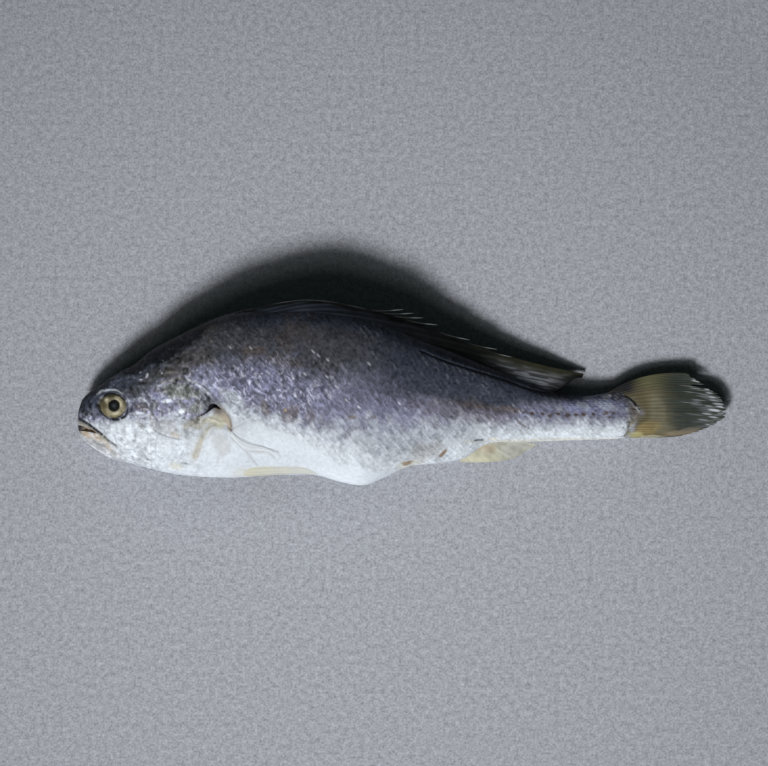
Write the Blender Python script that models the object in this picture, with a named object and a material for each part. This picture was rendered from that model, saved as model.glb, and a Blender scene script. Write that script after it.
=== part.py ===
"""Whole semi-dried yellow croaker, lying on its right side with the left flank up.

The body, head, lips, gill covers and fins are one solid. Each eye is a solid of its own that sits
in a socket of the head with a small gap all round.

Axes: +X to the tail, +Y to the back, +Z up through the left flank. The profiles below are in
millimetres from the snout (x), from the axis of the tail stalk (y) and from the ground (z). The
finished pieces are moved so that the origin is on the ground under the middle of the fish.
"""
import bmesh
import bpy
import numpy as np
from mathutils import Matrix, Vector

MM = 0.001

# Profiles of the body: (distance from the snout, value), in millimetres
BACK = (
    (0, -2.5), (0.6, 2.1), (2.1, 6.4), (4.7, 9.2), (9.9, 12.6), (18.4, 18.4), (24.9, 21.7), (31.3, 27.0),
    (44.2, 34.1), (61.3, 42.0), (80, 46.2), (99.9, 47.4), (125.6, 42.9), (155.7, 30.0), (190, 15.9),
    (213.5, 8.1), (224.3, 8.8), (235, 11.6),
)
BELLY = (
    (0, -2.5), (0.6, -7.0), (1.6, -9.4), (5.6, -12.8), (14.2, -18.2), (24.9, -21.2), (44.2, -25.5),
    (65.6, -26.8), (91.3, -25.5), (103.3, -25.9), (114, -28.9), (123.5, -30.0), (131, -27.2),
    (141, -22.4), (155.7, -20.6), (166, -18.5), (175, -12.8), (190, -11.8), (235, -10.1),
)
HALF_WIDTH = (
    (0, 0), (0.6, 3.0), (2, 4.7), (5, 6.8), (10, 9.3), (18, 12.3), (31, 15.2), (45, 17.1), (60, 18.8),
    (80, 19.6), (105, 19.6), (125, 17.9), (155, 13.4), (190, 8.3), (213, 5.6), (226, 4.2), (235, 1.2),
)
MID_HEIGHT = (
    (0, 8.2), (4, 9.5), (10, 11.8), (20, 14.2), (30, 15.8), (45, 17.3), (60, 18.6), (90, 18.9),
    (115, 18.2), (155, 13.0), (190, 8.5), (213, 6.3), (235, 5.2),
)
ROLL = 0.08                # the back lies this much higher than the belly, as a slope
BACK_FULLNESS = 1.0        # exponent of the section's width on the back's side: 1 is an ellipse
BELLY_FULLNESS = 0.78      # the same on the belly's side: under 1 is fuller than an ellipse

# Rings of the body
NOSE_LENGTH = 9.0
HEAD_LENGTH = 72.0
BODY_LENGTH = 235.0
NOSE_RINGS = 8
HEAD_RINGS = 36
TRUNK_RINGS = 28
RING_POINTS = 46
STALK_TAPER_START = 195.0
STALK_BULGE = 8.0          # how far the middle of the stalk's end reaches past its upper edge
STALK_SLANT = 1.5          # and how far, halved, its lower edge does

# Gill cover: its upper and rear edge from the cheek round its rear tab to the throat
COVER_EDGE = (
    (30.9, 10.7), (36.0, 12.4), (42.0, 14.2), (47.4, 14.6), (51.9, 13.0), (56.2, 10.3), (58.3, 6.9),
    (58.3, 3.9), (56.2, 1.7), (53.2, 0.4), (49.9, -1.3), (46.3, -3.0), (45.2, -6.0), (46.7, -9.6),
    (45.5, -14.2), (44.2, -17.2), (42.0, -20.2), (40.3, -23.2),
)
COVER_TAB = 7              # the point of that edge where the tab turns back
COVER_FRONT = ((24.0, -23.2), (24.0, 10.7))
COVER_LIFT = 0.8
COVER_FADE = (26.0, 42.0)  # along the fish, the cover grows out of the cheek between these
COVER_FOOT = -23.0         # and up from the throat it grows from here over this height:
COVER_BLEND = 6.0
SHOULDER_EDGE = ((60.2, 5.2), (62.5, 3.4), (65.5, 0.9), (66.5, -2.1), (67.1, -4.7), (67.7, -7.3))
BREAST_EDGE = ((58.3, -6.4), (54.9, -12.0), (52.7, -17.2), (51.0, -21.5))
MEMBRANE_DROP = 0.8
EDGE_SOFTNESS = 1.8
SLIT_LINE = ((49.9, -1.3), (53.2, 0.5), (56.2, 1.8), (58.4, 4.0), (60.4, 3.0), (62.6, 1.3))
SLIT_WIDTH = (0.5, 0.9, 1.3, 1.5, 1.1, 0.5)
SLIT_DEPTH = 3.5
SLIT_CLEARANCE = 3.0       # the cutter reaches this far out of the head

# Mouth: a wedge open at the snout that runs on as a thin line to the corner of the lips
MOUTH_OUTLINE = ((-2.0, -4.5), (9.3, -7.9), (16.6, -12.9), (16.3, -13.4), (9.0, -8.7), (-2.0, -7.0))

MOUTH_CUT_HEIGHTS = (-2.0, 30.0)

# Eyes
EYE_PLACE = (15.5, 4.3)
EYE_RADII = (6.7, 5.7, 4.0)
EYE_SHOWS = 1.2            # how far an eye stands out of the head
EYE_GAP = 0.3
EYE_PROBE = 2.0            # the head's slope at an eye is taken over this distance each way
EYE_SEGMENTS = 20
EYE_RINGS = 10

# Tail fin: the root, the bend and the tip of its rays from the lower edge to the upper
TAIL_ROOTS = ((228.0, -9.0), (231.0, -6.0), (236.0, 1.0), (231.0, 7.0), (226.0, 8.2))
TAIL_BENDS = ((245.0, -10.9), (250.0, -6.5), (256.0, 1.0), (250.0, 12.5), (239.0, 20.2))
TAIL_TIPS = ((260.0, -8.7), (272.7, -4.7), (280.0, 0.0), (272.7, 9.4), (260.5, 19.0))
TAIL_HEIGHTS = (3.2, 4.8, 6.6, 7.0, 7.0)
TAIL_THICKNESS = (2.6, 0.8)
TAIL_CUP = 0.6             # how much the middle of the tail fin lies below its two edges
TAIL_LEVEL = 0.62          # the part of a ray's length over which it reaches its own height
TAIL_RAYS = 18
TAIL_STEPS = 9

# Dorsal fin folded back along the ridge: (x, y) of its root and its outer edge
DORSAL_ROOT = (
    (66.0, 41.0), (84.0, 43.4), (99.9, 43.7), (117.0, 40.4), (142.8, 32.2), (162.5, 25.3), (181.4, 17.0),
    (199.0, 10.6), (212.0, 7.0),
)
DORSAL_EDGE = (
    (68.0, 43.6), (84.0, 47.4), (99.9, 49.2), (117.0, 46.9), (142.8, 40.6), (162.5, 33.0), (181.4, 26.4),
    (199.0, 21.6), (214.0, 17.8),
)
DORSAL_THICKNESS = (1.0, 2.8, 2.8, 2.6, 2.2, 1.8, 1.4, 1.2, 1.0)   # along the root, and at the edge:
DORSAL_EDGE_THICKNESS = 0.9
DORSAL_LEAN = 0.3          # the band's faces are shifted along Y by this share of its thickness
DORSAL_SINK = 1.6
DORSAL_RISES = (3.0, 4.2, 4.2, 3.2, 0.6, -0.9, -2.0, -2.2, -4.6)   # of the edge over the ridge
DORSAL_STEPS = 36
DORSAL_ROWS = 5
SPINE_TIPS = ((139.8, 45.2), (144.1, 43.6), (148.2, 41.6), (154.4, 38.6), (168.2, 32.2), (180.0, 28.2))
SPINE_LENGTH = 10.0
SPINE_SLOPE = -0.28        # the spines point along the fish and only a little down its back
SPINE_SINK = 0.6           # and start this far inside the fin's edge
SPINE_RADIUS = 0.55
SPINE_SIDES = 6

# Anal fin
ANAL_ROOT = ((163.0, -17.0), (168.0, -14.5), (174.0, -11.0), (182.0, -9.5))
ANAL_EDGE = ((164.5, -20.4), (173.0, -20.6), (186.5, -19.2), (198.5, -12.7))
ANAL_HEIGHTS = (9.8, 5.0)
ANAL_THICKNESS = (1.6, 0.8)
ANAL_STEPS = 12
ANAL_ROWS = 5

# Paired fins folded against the body: (x, y) of the lower and the upper edge
PECTORAL_LOWER = ((66.0, -8.2), (69.0, -11.5), (73.3, -14.8), (82.5, -15.4), (87.5, -18.6))
PECTORAL_UPPER = ((67.0, -6.6), (69.0, -8.6), (74.0, -11.2), (80.5, -13.2), (87.8, -15.9))
PELVIC_LOWER = ((70.5, -26.0), (80.0, -26.1), (90.0, -25.3), (97.0, -25.2), (103.3, -25.6))
PELVIC_UPPER = ((73.0, -22.6), (80.0, -21.9), (90.0, -21.9), (97.0, -22.2), (103.3, -24.6))
PAIRED_STEPS = 12
PAIRED_ROWS = 3
PAIRED_LIFT = 0.4
PAIRED_SINK = 1.2

# Slab below the ground
GROUND_CORNERS = ((-10.0, -45.0), (295.0, 60.0))
GROUND_HEIGHTS = (-12.0, 0.0)

# Finish of the solids: linear colour and roughness
SKIN_COLOUR = (0.42, 0.43, 0.47, 1.0)
SKIN_ROUGHNESS = 0.38
EYE_COLOUR = (0.16, 0.14, 0.10, 1.0)
EYE_ROUGHNESS = 0.15
SHARP_ANGLE = np.radians(50)


def smooth(keys, x):
    """A cubic through the keys over the square root of x, so that the profiles are round at the snout."""
    keys = np.array(keys, dtype=float)
    knots = np.sqrt(keys[:, 0])
    steps = np.diff(knots)
    rises = np.diff(keys[:, 1]) / steps
    inner = (rises[:-1] * steps[1:] + rises[1:] * steps[:-1]) / (steps[:-1] + steps[1:])
    slopes = np.concatenate((rises[:1], inner, rises[-1:]))
    at = np.sqrt(np.clip(x, keys[0, 0], keys[-1, 0]))
    i = np.clip(np.searchsorted(knots, at, side="right") - 1, 0, len(steps) - 1)
    t = (at - knots[i]) / steps[i]
    start = keys[i, 1] * (1 + 2 * t) * (1 - t) ** 2 + slopes[i] * steps[i] * t * (1 - t) ** 2
    end = keys[i + 1, 1] * (3 - 2 * t) * t**2 - slopes[i + 1] * steps[i] * (1 - t) * t**2
    return start + end


def along(points, count):
    """Points at even parameter steps on a Catmull-Rom curve through the given points."""
    points = np.array(points, dtype=float)
    ends = np.concatenate((2 * points[:1] - points[1:2], points, 2 * points[-1:] - points[-2:-1]))
    at = np.linspace(0, len(points) - 1, count)
    i = np.minimum(at.astype(int), len(points) - 2)
    t = (at - i)[:, None]
    a, b, c, d = ends[i], ends[i + 1], ends[i + 2], ends[i + 3]
    return b + 0.5 * t * (c - a + t * (2 * a - 5 * b + 4 * c - d + t * (3 * (b - c) + d - a)))


def ease(value):
    """0 below 0, 1 above 1, with a smooth step between."""
    value = np.clip(value, 0, 1)
    return value * value * (3 - 2 * value)


def inside(outline, x, y):
    """True where (x, y) is inside the closed outline, by counting the sides to its right."""
    odd = np.zeros(np.broadcast(x, y).shape, dtype=bool)
    for (x0, y0), (x1, y1) in zip(outline, outline[1:] + outline[:1]):
        if y0 != y1:
            crosses = (y0 > y) != (y1 > y)
            odd ^= crosses & (x < x0 + (y - y0) * (x1 - x0) / (y1 - y0))
    return odd


def distance(line, x, y):
    """Distance from (x, y) to the nearest point of an open line."""
    nearest = np.full(np.broadcast(x, y).shape, np.inf)
    for (x0, y0), (x1, y1) in zip(line, line[1:]):
        run, rise = x1 - x0, y1 - y0
        t = np.clip(((x - x0) * run + (y - y0) * rise) / (run**2 + rise**2), 0, 1)
        nearest = np.minimum(nearest, np.hypot(x - x0 - t * run, y - y0 - t * rise))
    return nearest


def head_relief(x, y):
    """How far the gill cover stands out and the membrane behind it sinks in, at (x, y) of either side."""
    cover = inside(COVER_EDGE + COVER_FRONT, x, y)
    grown = ease((x - COVER_FADE[0]) / (COVER_FADE[1] - COVER_FADE[0])) * ease((y - COVER_FOOT) / COVER_BLEND)
    raised = COVER_LIFT * cover * grown * ease(distance(COVER_EDGE, x, y) / EDGE_SOFTNESS)
    hollow_outline = COVER_EDGE[COVER_TAB:-1] + BREAST_EDGE[::-1] + SHOULDER_EDGE[::-1]
    hollow = inside(hollow_outline, x, y)
    rim = distance(SHOULDER_EDGE + BREAST_EDGE, x, y)
    return raised - MEMBRANE_DROP * hollow * ease(rim / EDGE_SOFTNESS)


def skin(x, angle, lift=0.0):
    """Point of the skin at a distance from the snout and an angle round the body.

    The angle is 0 at the ridge of the back, 90 degrees on the left flank and 180 at the belly. The
    section is half its height times the cosine by half its width times a power of the sine. It
    leans by the roll, and the relief and the lift are added along the section's own normal.
    """
    x, angle = np.broadcast_arrays(np.asarray(x, dtype=float), angle)
    back, belly = smooth(BACK, x), smooth(BELLY, x)
    width = smooth(HALF_WIDTH, x)
    middle, height = (back + belly) / 2, (back - belly) / 2
    cosine, sine = np.cos(angle), np.sin(angle)
    fullness = BELLY_FULLNESS + (BACK_FULLNESS - BELLY_FULLNESS) * ease((cosine + 1) / 2)
    y = middle + height * cosine
    z = smooth(MID_HEIGHT, x) + width * np.sign(sine) * np.abs(sine) ** fullness + ROLL * height * cosine
    out_y, out_z = cosine * np.maximum(width, 0.1), sine * np.maximum(height, 0.1)
    size = np.hypot(out_y, out_z)
    off = lift + head_relief(x, y)
    stalk = ease((x - STALK_TAPER_START) / (BODY_LENGTH - STALK_TAPER_START))
    x = x + stalk * (STALK_BULGE * sine**2 + STALK_SLANT * (1 - cosine))
    return np.stack((x, y + off * out_y / size, z + off * out_z / size), axis=-1)


def on_flank(x, y, side, lift=0.0):
    """Point of the skin over (x, y), on the left side for side 1 and on the right for side -1."""
    back, belly = smooth(BACK, x), smooth(BELLY, x)
    cosine = np.clip((2 * y - back - belly) / (back - belly), -1, 1)
    return skin(x, side * np.arccos(cosine), lift)


def finish_form(name, form):
    """A mesh object from a closed form in millimetres, with its faces turned outwards."""
    bmesh.ops.recalc_face_normals(form, faces=form.faces)
    bmesh.ops.scale(form, vec=(MM, MM, MM), verts=form.verts)
    mesh = bpy.data.meshes.new(name)
    form.to_mesh(mesh)
    form.free()
    obj = bpy.data.objects.new(name, mesh)
    bpy.context.scene.collection.objects.link(obj)
    return obj


def new_object(name, vertices, faces):
    """A mesh object from points in millimetres and the faces between them."""
    form = bmesh.new()
    corners = [form.verts.new(point) for point in np.array(vertices, dtype=float).reshape(-1, 3)]
    for face in faces:
        form.faces.new([corners[i] for i in face])
    return finish_form(name, form)


def tube(name, rings, start=None, end=None):
    """A closed form through rings of points, ended by a single point or, without one, by a flat face."""
    count, around = rings.shape[:2]
    faces = []
    for ring in range(count - 1):
        for i in range(around):
            j = (i + 1) % around
            first, second = ring * around, (ring + 1) * around
            faces.append((first + i, first + j, second + j, second + i))
    points = [rings.reshape(-1, 3)]
    for tip, first in ((start, 0), (end, (count - 1) * around)):
        loop = [first + i for i in range(around)]
        if tip is None:
            faces.append(loop)
        else:
            top = sum(len(group) for group in points)
            points.append(np.array([tip], dtype=float))
            faces.extend((loop[i], loop[(i + 1) % around], top) for i in range(around))
    return new_object(name, np.concatenate(points), faces)


def sheet(name, upper, lower):
    """A closed plate between two grids of points that have the same rows and columns."""
    rows, columns = upper.shape[:2]
    offset = rows * columns
    faces = []
    for i in range(rows - 1):
        for j in range(columns - 1):
            a, b = i * columns + j, (i + 1) * columns + j
            faces.append((a, b, b + 1, a + 1))
            faces.append((offset + a, offset + a + 1, offset + b + 1, offset + b))
    last = (rows - 1) * columns
    rim = list(range(columns)) + [i * columns + columns - 1 for i in range(1, rows)]
    rim += [last + j for j in range(columns - 2, -1, -1)] + [i * columns for i in range(rows - 2, 0, -1)]
    for a, b in zip(rim, rim[1:] + rim[:1]):
        faces.append((a, b, offset + b, offset + a))
    return new_object(name, np.concatenate((upper.reshape(-1, 3), lower.reshape(-1, 3))), faces)


def blend(values, t):
    """Value at t, from 0 to 1, along evenly spaced values."""
    return np.interp(t, np.linspace(0, 1, len(values)), values)


def make_body():
    """The plain body: rings close together on the head, and further apart down to the tail stalk."""
    nose = NOSE_LENGTH * (np.arange(1, NOSE_RINGS + 1) / NOSE_RINGS) ** 2
    head = np.linspace(NOSE_LENGTH, HEAD_LENGTH, HEAD_RINGS + 1)[1:]
    trunk = np.linspace(HEAD_LENGTH, BODY_LENGTH, TRUNK_RINGS + 1)[1:]
    stations = np.concatenate((nose, head, trunk))
    angles = np.linspace(0, 2 * np.pi, RING_POINTS, endpoint=False)
    rings = skin(stations[:, None], angles[None, :])
    return tube("body", rings, start=skin(0.0, 0.0))


def make_tail_fin():
    """Rays from root through bend to tip, each a quadratic curve, joined into one thinning plate."""
    roots, bends, tips = (along(line, TAIL_RAYS) for line in (TAIL_ROOTS, TAIL_BENDS, TAIL_TIPS))
    t = np.linspace(0, 1, TAIL_STEPS)[:, None, None]
    flat = roots * (1 - t) ** 2 + bends * 2 * t * (1 - t) + tips * t**2
    across = np.linspace(0, 1, TAIL_RAYS)
    height = blend(TAIL_HEIGHTS, across) - TAIL_CUP * np.sin(np.pi * across)
    start = smooth(MID_HEIGHT, roots[:, 0])
    middle = start + (height - start) * ease(t[..., 0] / TAIL_LEVEL)
    half = (TAIL_THICKNESS[0] + (TAIL_THICKNESS[1] - TAIL_THICKNESS[0]) * t[..., 0]) / 2
    half = np.broadcast_to(half, middle.shape)
    upper = np.concatenate((flat, (middle + half)[..., None]), axis=2)
    lower = np.concatenate((flat, (middle - half)[..., None]), axis=2)
    return sheet("tail_fin", upper, lower)


def make_dorsal_fin():
    """A long band from the left of the ridge out past it, thick over the spines and thin at the rear."""
    root, edge = along(DORSAL_ROOT, DORSAL_STEPS), along(DORSAL_EDGE, DORSAL_STEPS)
    base = on_flank(root[:, 0], root[:, 1], 1, -DORSAL_SINK)
    along_fin = np.linspace(0, 1, DORSAL_STEPS)[:, None]
    ridge = skin(edge[:, 0], 0.0)
    tip = np.stack((edge[:, 0], edge[:, 1], ridge[:, 2] + blend(DORSAL_RISES, along_fin[:, 0])), axis=1)
    t = np.linspace(0, 1, DORSAL_ROWS)[None, :, None]
    middle = base[:, None] * (1 - t) + tip[:, None] * t
    thickness = blend(DORSAL_THICKNESS, along_fin)
    half = (thickness + (DORSAL_EDGE_THICKNESS - thickness) * t[..., 0] ** 2) / 2
    shift = np.stack((np.zeros_like(half), DORSAL_LEAN * half, half), axis=2)
    return sheet("dorsal_fin", middle + shift, middle - shift)


def make_spine(index, place):
    """A free tip of a dorsal spine: a thin cone that leaves the band towards the tail."""
    x, y = place
    band = along(DORSAL_EDGE, DORSAL_STEPS)
    foot = x - SPINE_LENGTH
    rise = np.interp(foot, band[:, 0], blend(DORSAL_RISES, np.linspace(0, 1, len(band))))
    tip = np.array((x, y, skin(x, 0.0)[2] + rise))
    rooted = min(y - SPINE_SLOPE * SPINE_LENGTH, np.interp(foot, *band.T) - SPINE_SINK)
    start = np.array((foot, rooted, skin(foot, 0.0)[2] + rise))
    turn = np.linspace(0, 2 * np.pi, SPINE_SIDES, endpoint=False)
    ring = np.stack((np.zeros(SPINE_SIDES), SPINE_RADIUS * np.cos(turn), SPINE_RADIUS * np.sin(turn)), axis=1)
    return tube(f"spine_{index}", (start + ring)[None], end=tip)


def make_anal_fin():
    """A small plate that hangs from the belly behind the vent and thins to its edge."""
    root, edge = along(ANAL_ROOT, ANAL_STEPS), along(ANAL_EDGE, ANAL_STEPS)
    t = np.linspace(0, 1, ANAL_ROWS)[None, :, None]
    flat = root[:, None] * (1 - t) + edge[:, None] * t
    middle = np.broadcast_to(ANAL_HEIGHTS[0] + (ANAL_HEIGHTS[1] - ANAL_HEIGHTS[0]) * t, flat[..., :1].shape)
    half = (ANAL_THICKNESS[0] + (ANAL_THICKNESS[1] - ANAL_THICKNESS[0]) * t) / 2
    upper = np.concatenate((flat, middle + half), axis=2)
    lower = np.concatenate((flat, middle - half), axis=2)
    return sheet("anal_fin", upper, lower)


def make_paired_fin(name, lower_edge, upper_edge, side):
    """A folded blade that follows the skin of one side and stands a little off it."""
    low, high = along(lower_edge, PAIRED_STEPS), along(upper_edge, PAIRED_STEPS)
    t = np.linspace(0, 1, PAIRED_ROWS)[None, :, None]
    flat = low[:, None] * (1 - t) + high[:, None] * t
    outer = on_flank(flat[..., 0], flat[..., 1], side, PAIRED_LIFT)
    inner = on_flank(flat[..., 0], flat[..., 1], side, -PAIRED_SINK)
    return sheet(name, outer, inner)


def make_mouth_cutter():
    """The wedge between the lips, as a prism right through the snout."""
    rings = np.array([[(x, y, z) for x, y in MOUTH_OUTLINE] for z in MOUTH_CUT_HEIGHTS])
    return tube("mouth_cutter", rings)


def make_slit_cutter(name, side):
    """The gill slit of one side: a narrow wall that follows the cover's tab and goes down into the head."""
    line = np.array(SLIT_LINE, dtype=float)
    heading = np.gradient(line, axis=0)
    heading /= np.linalg.norm(heading, axis=1)[:, None]
    aside = np.stack((-heading[:, 1], heading[:, 0]), axis=1) * np.array(SLIT_WIDTH)[:, None] / 2
    walls = np.stack((line - aside, line + aside), axis=1)
    outer = on_flank(walls[..., 0], walls[..., 1], side, SLIT_CLEARANCE)
    inner = on_flank(walls[..., 0], walls[..., 1], side, -SLIT_DEPTH)
    return sheet(name, outer, inner)


def make_ground_cutter():
    """A slab with its top on the ground, so that the underside ends in a flat face."""
    (x0, y0), (x1, y1) = GROUND_CORNERS
    outline = ((x0, y0), (x1, y0), (x1, y1), (x0, y1))
    return tube("ground_cutter", np.array([[(x, y, z) for x, y in outline] for z in GROUND_HEIGHTS]))


def eye_turn(side):
    """Turn and place of an eye: its short axis along the head's normal, its centre under the skin."""
    x, y = EYE_PLACE
    here = on_flank(x, y, side)
    ahead = on_flank(x - EYE_PROBE, y, side) - on_flank(x + EYE_PROBE, y, side)
    up = on_flank(x, y + EYE_PROBE, side) - on_flank(x, y - EYE_PROBE, side)
    normal = Vector(np.cross(up, ahead) * side).normalized()
    forward = Vector(ahead).normalized()
    turn = Matrix((forward, normal.cross(forward), normal)).transposed()
    centre = Vector(here) + normal * (EYE_SHOWS - EYE_RADII[2])
    return turn, centre


def make_eye(name, side, grow=0.0):
    """An eye as a flattened ball, or its socket when grown by the gap."""
    turn, centre = eye_turn(side)
    form = bmesh.new()
    bmesh.ops.create_uvsphere(form, u_segments=EYE_SEGMENTS, v_segments=EYE_RINGS, radius=1.0)
    for vertex in form.verts:
        stretched = Vector(part * (radius + grow) for part, radius in zip(vertex.co, EYE_RADII))
        vertex.co = centre + turn @ stretched
    form.normal_update()
    return finish_form(name, form)


def combine(target, others, operation):
    """Joins the other objects to the target, or cuts them away, and removes them."""
    group = bpy.data.collections.new(operation.lower())
    bpy.context.scene.collection.children.link(group)
    for other in others:
        group.objects.link(other)
    modifier = target.modifiers.new(operation.lower(), "BOOLEAN")
    modifier.operation = operation
    modifier.operand_type = "COLLECTION"
    modifier.collection = group
    modifier.solver = "EXACT"
    graph = bpy.context.evaluated_depsgraph_get()
    result = bpy.data.meshes.new_from_object(target.evaluated_get(graph))
    target.modifiers.remove(modifier)
    target.data = result
    for other in others:
        bpy.data.objects.remove(other)
    bpy.data.collections.remove(group)


def paint(obj, name, colour, roughness):
    """Gives an object its own Principled material."""
    material = bpy.data.materials.new(name)
    material.use_nodes = True
    shader = material.node_tree.nodes["Principled BSDF"]
    shader.inputs["Base Color"].default_value = colour
    shader.inputs["Roughness"].default_value = roughness
    shader.inputs["Metallic"].default_value = 0.0
    obj.data.materials.clear()
    obj.data.materials.append(material)


def settle(objects):
    """Moves all pieces so that the origin is on the ground under the middle of the whole fish."""
    corners = np.array([vertex.co[:] for obj in objects for vertex in obj.data.vertices])
    low, high = corners.min(axis=0), corners.max(axis=0)
    shift = Matrix.Translation((-(low[0] + high[0]) / 2, -(low[1] + high[1]) / 2, -low[2]))
    for obj in objects:
        obj.data.transform(shift)
        obj.data.shade_smooth()
        obj.data.set_sharp_from_angle(angle=SHARP_ANGLE)


def main():
    for obj in list(bpy.data.objects):
        bpy.data.objects.remove(obj)
    fish = make_body()
    fish.name = "croaker"
    added = [make_tail_fin(), make_dorsal_fin(), make_anal_fin()]
    added += [make_spine(i, place) for i, place in enumerate(SPINE_TIPS)]
    for side in (1, -1):
        added.append(make_paired_fin(f"pectoral_{side}", PECTORAL_LOWER, PECTORAL_UPPER, side))
        added.append(make_paired_fin(f"pelvic_{side}", PELVIC_LOWER, PELVIC_UPPER, side))
    combine(fish, added, "UNION")
    cutters = [make_mouth_cutter(), make_ground_cutter()]
    for side in (1, -1):
        cutters.append(make_slit_cutter(f"slit_{side}", side))
        cutters.append(make_eye(f"socket_{side}", side, EYE_GAP))
    combine(fish, cutters, "DIFFERENCE")
    paint(fish, "fish_skin", SKIN_COLOUR, SKIN_ROUGHNESS)
    eyes = [make_eye("eye_left", 1), make_eye("eye_right", -1)]
    for eye in eyes:
        paint(eye, eye.name, EYE_COLOUR, EYE_ROUGHNESS)
    settle([fish] + eyes)


main()
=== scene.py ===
"""Looks of a whole semi-dried yellow croaker that lies on its right side.

All shapes are worked out in millimetres: x runs from the snout to the tail, y from the axis of the
tail stalk to the back, and z from the ground up through the left flank. place() moves them to
where the solids are, in metres. What the right side of the fish shows is the mirror image of the left.
"""
import itertools

import bpy
import numpy as np
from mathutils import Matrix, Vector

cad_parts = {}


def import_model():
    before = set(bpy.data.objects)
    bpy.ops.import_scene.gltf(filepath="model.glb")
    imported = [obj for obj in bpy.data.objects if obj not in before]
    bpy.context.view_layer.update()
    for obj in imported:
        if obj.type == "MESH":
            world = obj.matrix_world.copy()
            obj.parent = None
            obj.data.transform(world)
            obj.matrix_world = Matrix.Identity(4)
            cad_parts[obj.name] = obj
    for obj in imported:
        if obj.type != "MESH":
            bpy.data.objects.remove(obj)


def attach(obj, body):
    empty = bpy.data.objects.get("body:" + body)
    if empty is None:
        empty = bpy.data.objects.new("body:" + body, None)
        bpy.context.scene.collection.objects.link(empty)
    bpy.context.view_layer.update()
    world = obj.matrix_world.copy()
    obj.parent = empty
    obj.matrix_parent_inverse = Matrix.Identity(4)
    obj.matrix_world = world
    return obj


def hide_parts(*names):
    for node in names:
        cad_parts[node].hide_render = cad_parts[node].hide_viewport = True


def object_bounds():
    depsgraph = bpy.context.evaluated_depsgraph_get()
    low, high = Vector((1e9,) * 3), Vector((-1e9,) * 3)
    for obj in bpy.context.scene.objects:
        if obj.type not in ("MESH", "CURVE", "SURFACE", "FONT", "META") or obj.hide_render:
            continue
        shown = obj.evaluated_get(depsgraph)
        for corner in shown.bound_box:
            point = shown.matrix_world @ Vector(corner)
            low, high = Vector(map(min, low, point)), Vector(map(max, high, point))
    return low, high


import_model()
CAD_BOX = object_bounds()

MM = 0.001

# Profiles of the body: (distance from the snout, value)
BACK = (
    (0, -2.5), (0.6, 2.1), (2.1, 6.4), (4.7, 9.2), (9.9, 12.6), (18.4, 18.4), (24.9, 21.7), (31.3, 27),
    (44.2, 34.1), (61.3, 42), (80, 46.2), (99.9, 47.4), (125.6, 42.9), (155.7, 30), (190, 15.9),
    (213.5, 8.1), (224.3, 8.8), (235, 11.6),
)
BELLY = (
    (0, -2.5), (0.6, -7), (1.6, -9.4), (5.6, -12.8), (14.2, -18.2), (24.9, -21.2), (44.2, -25.5),
    (65.6, -26.8), (91.3, -25.5), (103.3, -25.9), (114, -28.9), (123.5, -30), (131, -27.2), (141, -22.4),
    (155.7, -20.6), (166, -18.5), (175, -12.8), (190, -11.8), (235, -10.1),
)
HALF_WIDTH = (
    (0, 0), (0.6, 3), (2, 4.7), (5, 6.8), (10, 9.3), (18, 12.3), (31, 15.2), (45, 17.1), (60, 18.8),
    (80, 19.6), (105, 19.6), (125, 17.9), (155, 13.4), (190, 8.3), (213, 5.6), (226, 4.2), (235, 1.2),
)
MID_HEIGHT = (
    (0, 8.2), (4, 9.5), (10, 11.8), (20, 14.2), (30, 15.8), (45, 17.3), (60, 18.6), (90, 18.9), (115, 18.2),
    (155, 13), (190, 8.5), (213, 6.3), (235, 5.2),
)

# How far the body rolls over, how round its upper and lower half are, and the slanted end of its stalk
ROLL = 0.08
BACK_FULLNESS = 1.0
BELLY_FULLNESS = 0.78
BODY_LENGTH = 235.0
STALK_TAPER_START = 195.0
STALK_BULGE = 8.0
STALK_SLANT = 1.5
STALK_STEP = 1.1

# Grid of the skin: where each piece ends, and how many rings each has
NOSE_REACH = 8.0
NOSE_RINGS = 45
SKIN_PIECES = (("skin_head", NOSE_REACH, 70.0, 245), ("skin_flank", 70.0, 150.0, 270),
               ("skin_stalk", 150.0, BODY_LENGTH, 280))
RING_POINTS = 330
DENSE_POINTS = 721

# The hidden underside has this share of the points that the flank has
UNDERSIDE_SHARE = 0.25

# How far the noise, the streaks and the scales of the right side are from those of the left
NOISE_SIDE_SHIFT = 40.0
STREAK_SIDE_SHIFT = 9.7
SCALE_SIDE_SHIFT = 200

# Gill cover, the shoulder behind it and the membrane between them
COVER_EDGE = (
    (30.9, 10.7), (36, 12.4), (42, 14.2), (47.4, 14.6), (51.9, 13), (56.2, 10.3), (58.3, 6.9), (58.3, 3.9),
    (56.2, 1.7), (53.2, 0.4), (49.9, -1.3), (46.3, -3), (45.2, -6), (46.7, -9.6), (45.5, -14.2),
    (44.2, -17.2), (42, -20.2), (40.3, -23.2),
)
COVER_TAB = 7
COVER_FRONT = ((24.0, -23.2), (24.0, 10.7))
COVER_LIFT = 0.75
COVER_SOFTNESS = ((0, 6), (0.33, 5), (0.42, 1.4), (0.58, 1.2), (0.68, 3), (1, 5))
COVER_FADE = (26.0, 42.0)
COVER_FOOT = -23.0
COVER_BLEND = 6.0
SHOULDER_EDGE = ((60.2, 5.2), (62.5, 3.4), (65.5, 0.9), (66.5, -2.1), (67.1, -4.7), (67.7, -7.3))
BREAST_EDGE = ((58.3, -6.4), (54.9, -12), (52.7, -17.2), (51, -21.5))
MEMBRANE = COVER_EDGE[COVER_TAB:-1] + BREAST_EDGE[::-1] + SHOULDER_EDGE[::-1]
MEMBRANE_DROP = 0.7
RIM_SOFTNESS = ((0, 1), (0.35, 1), (0.5, 4), (1, 4))
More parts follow.
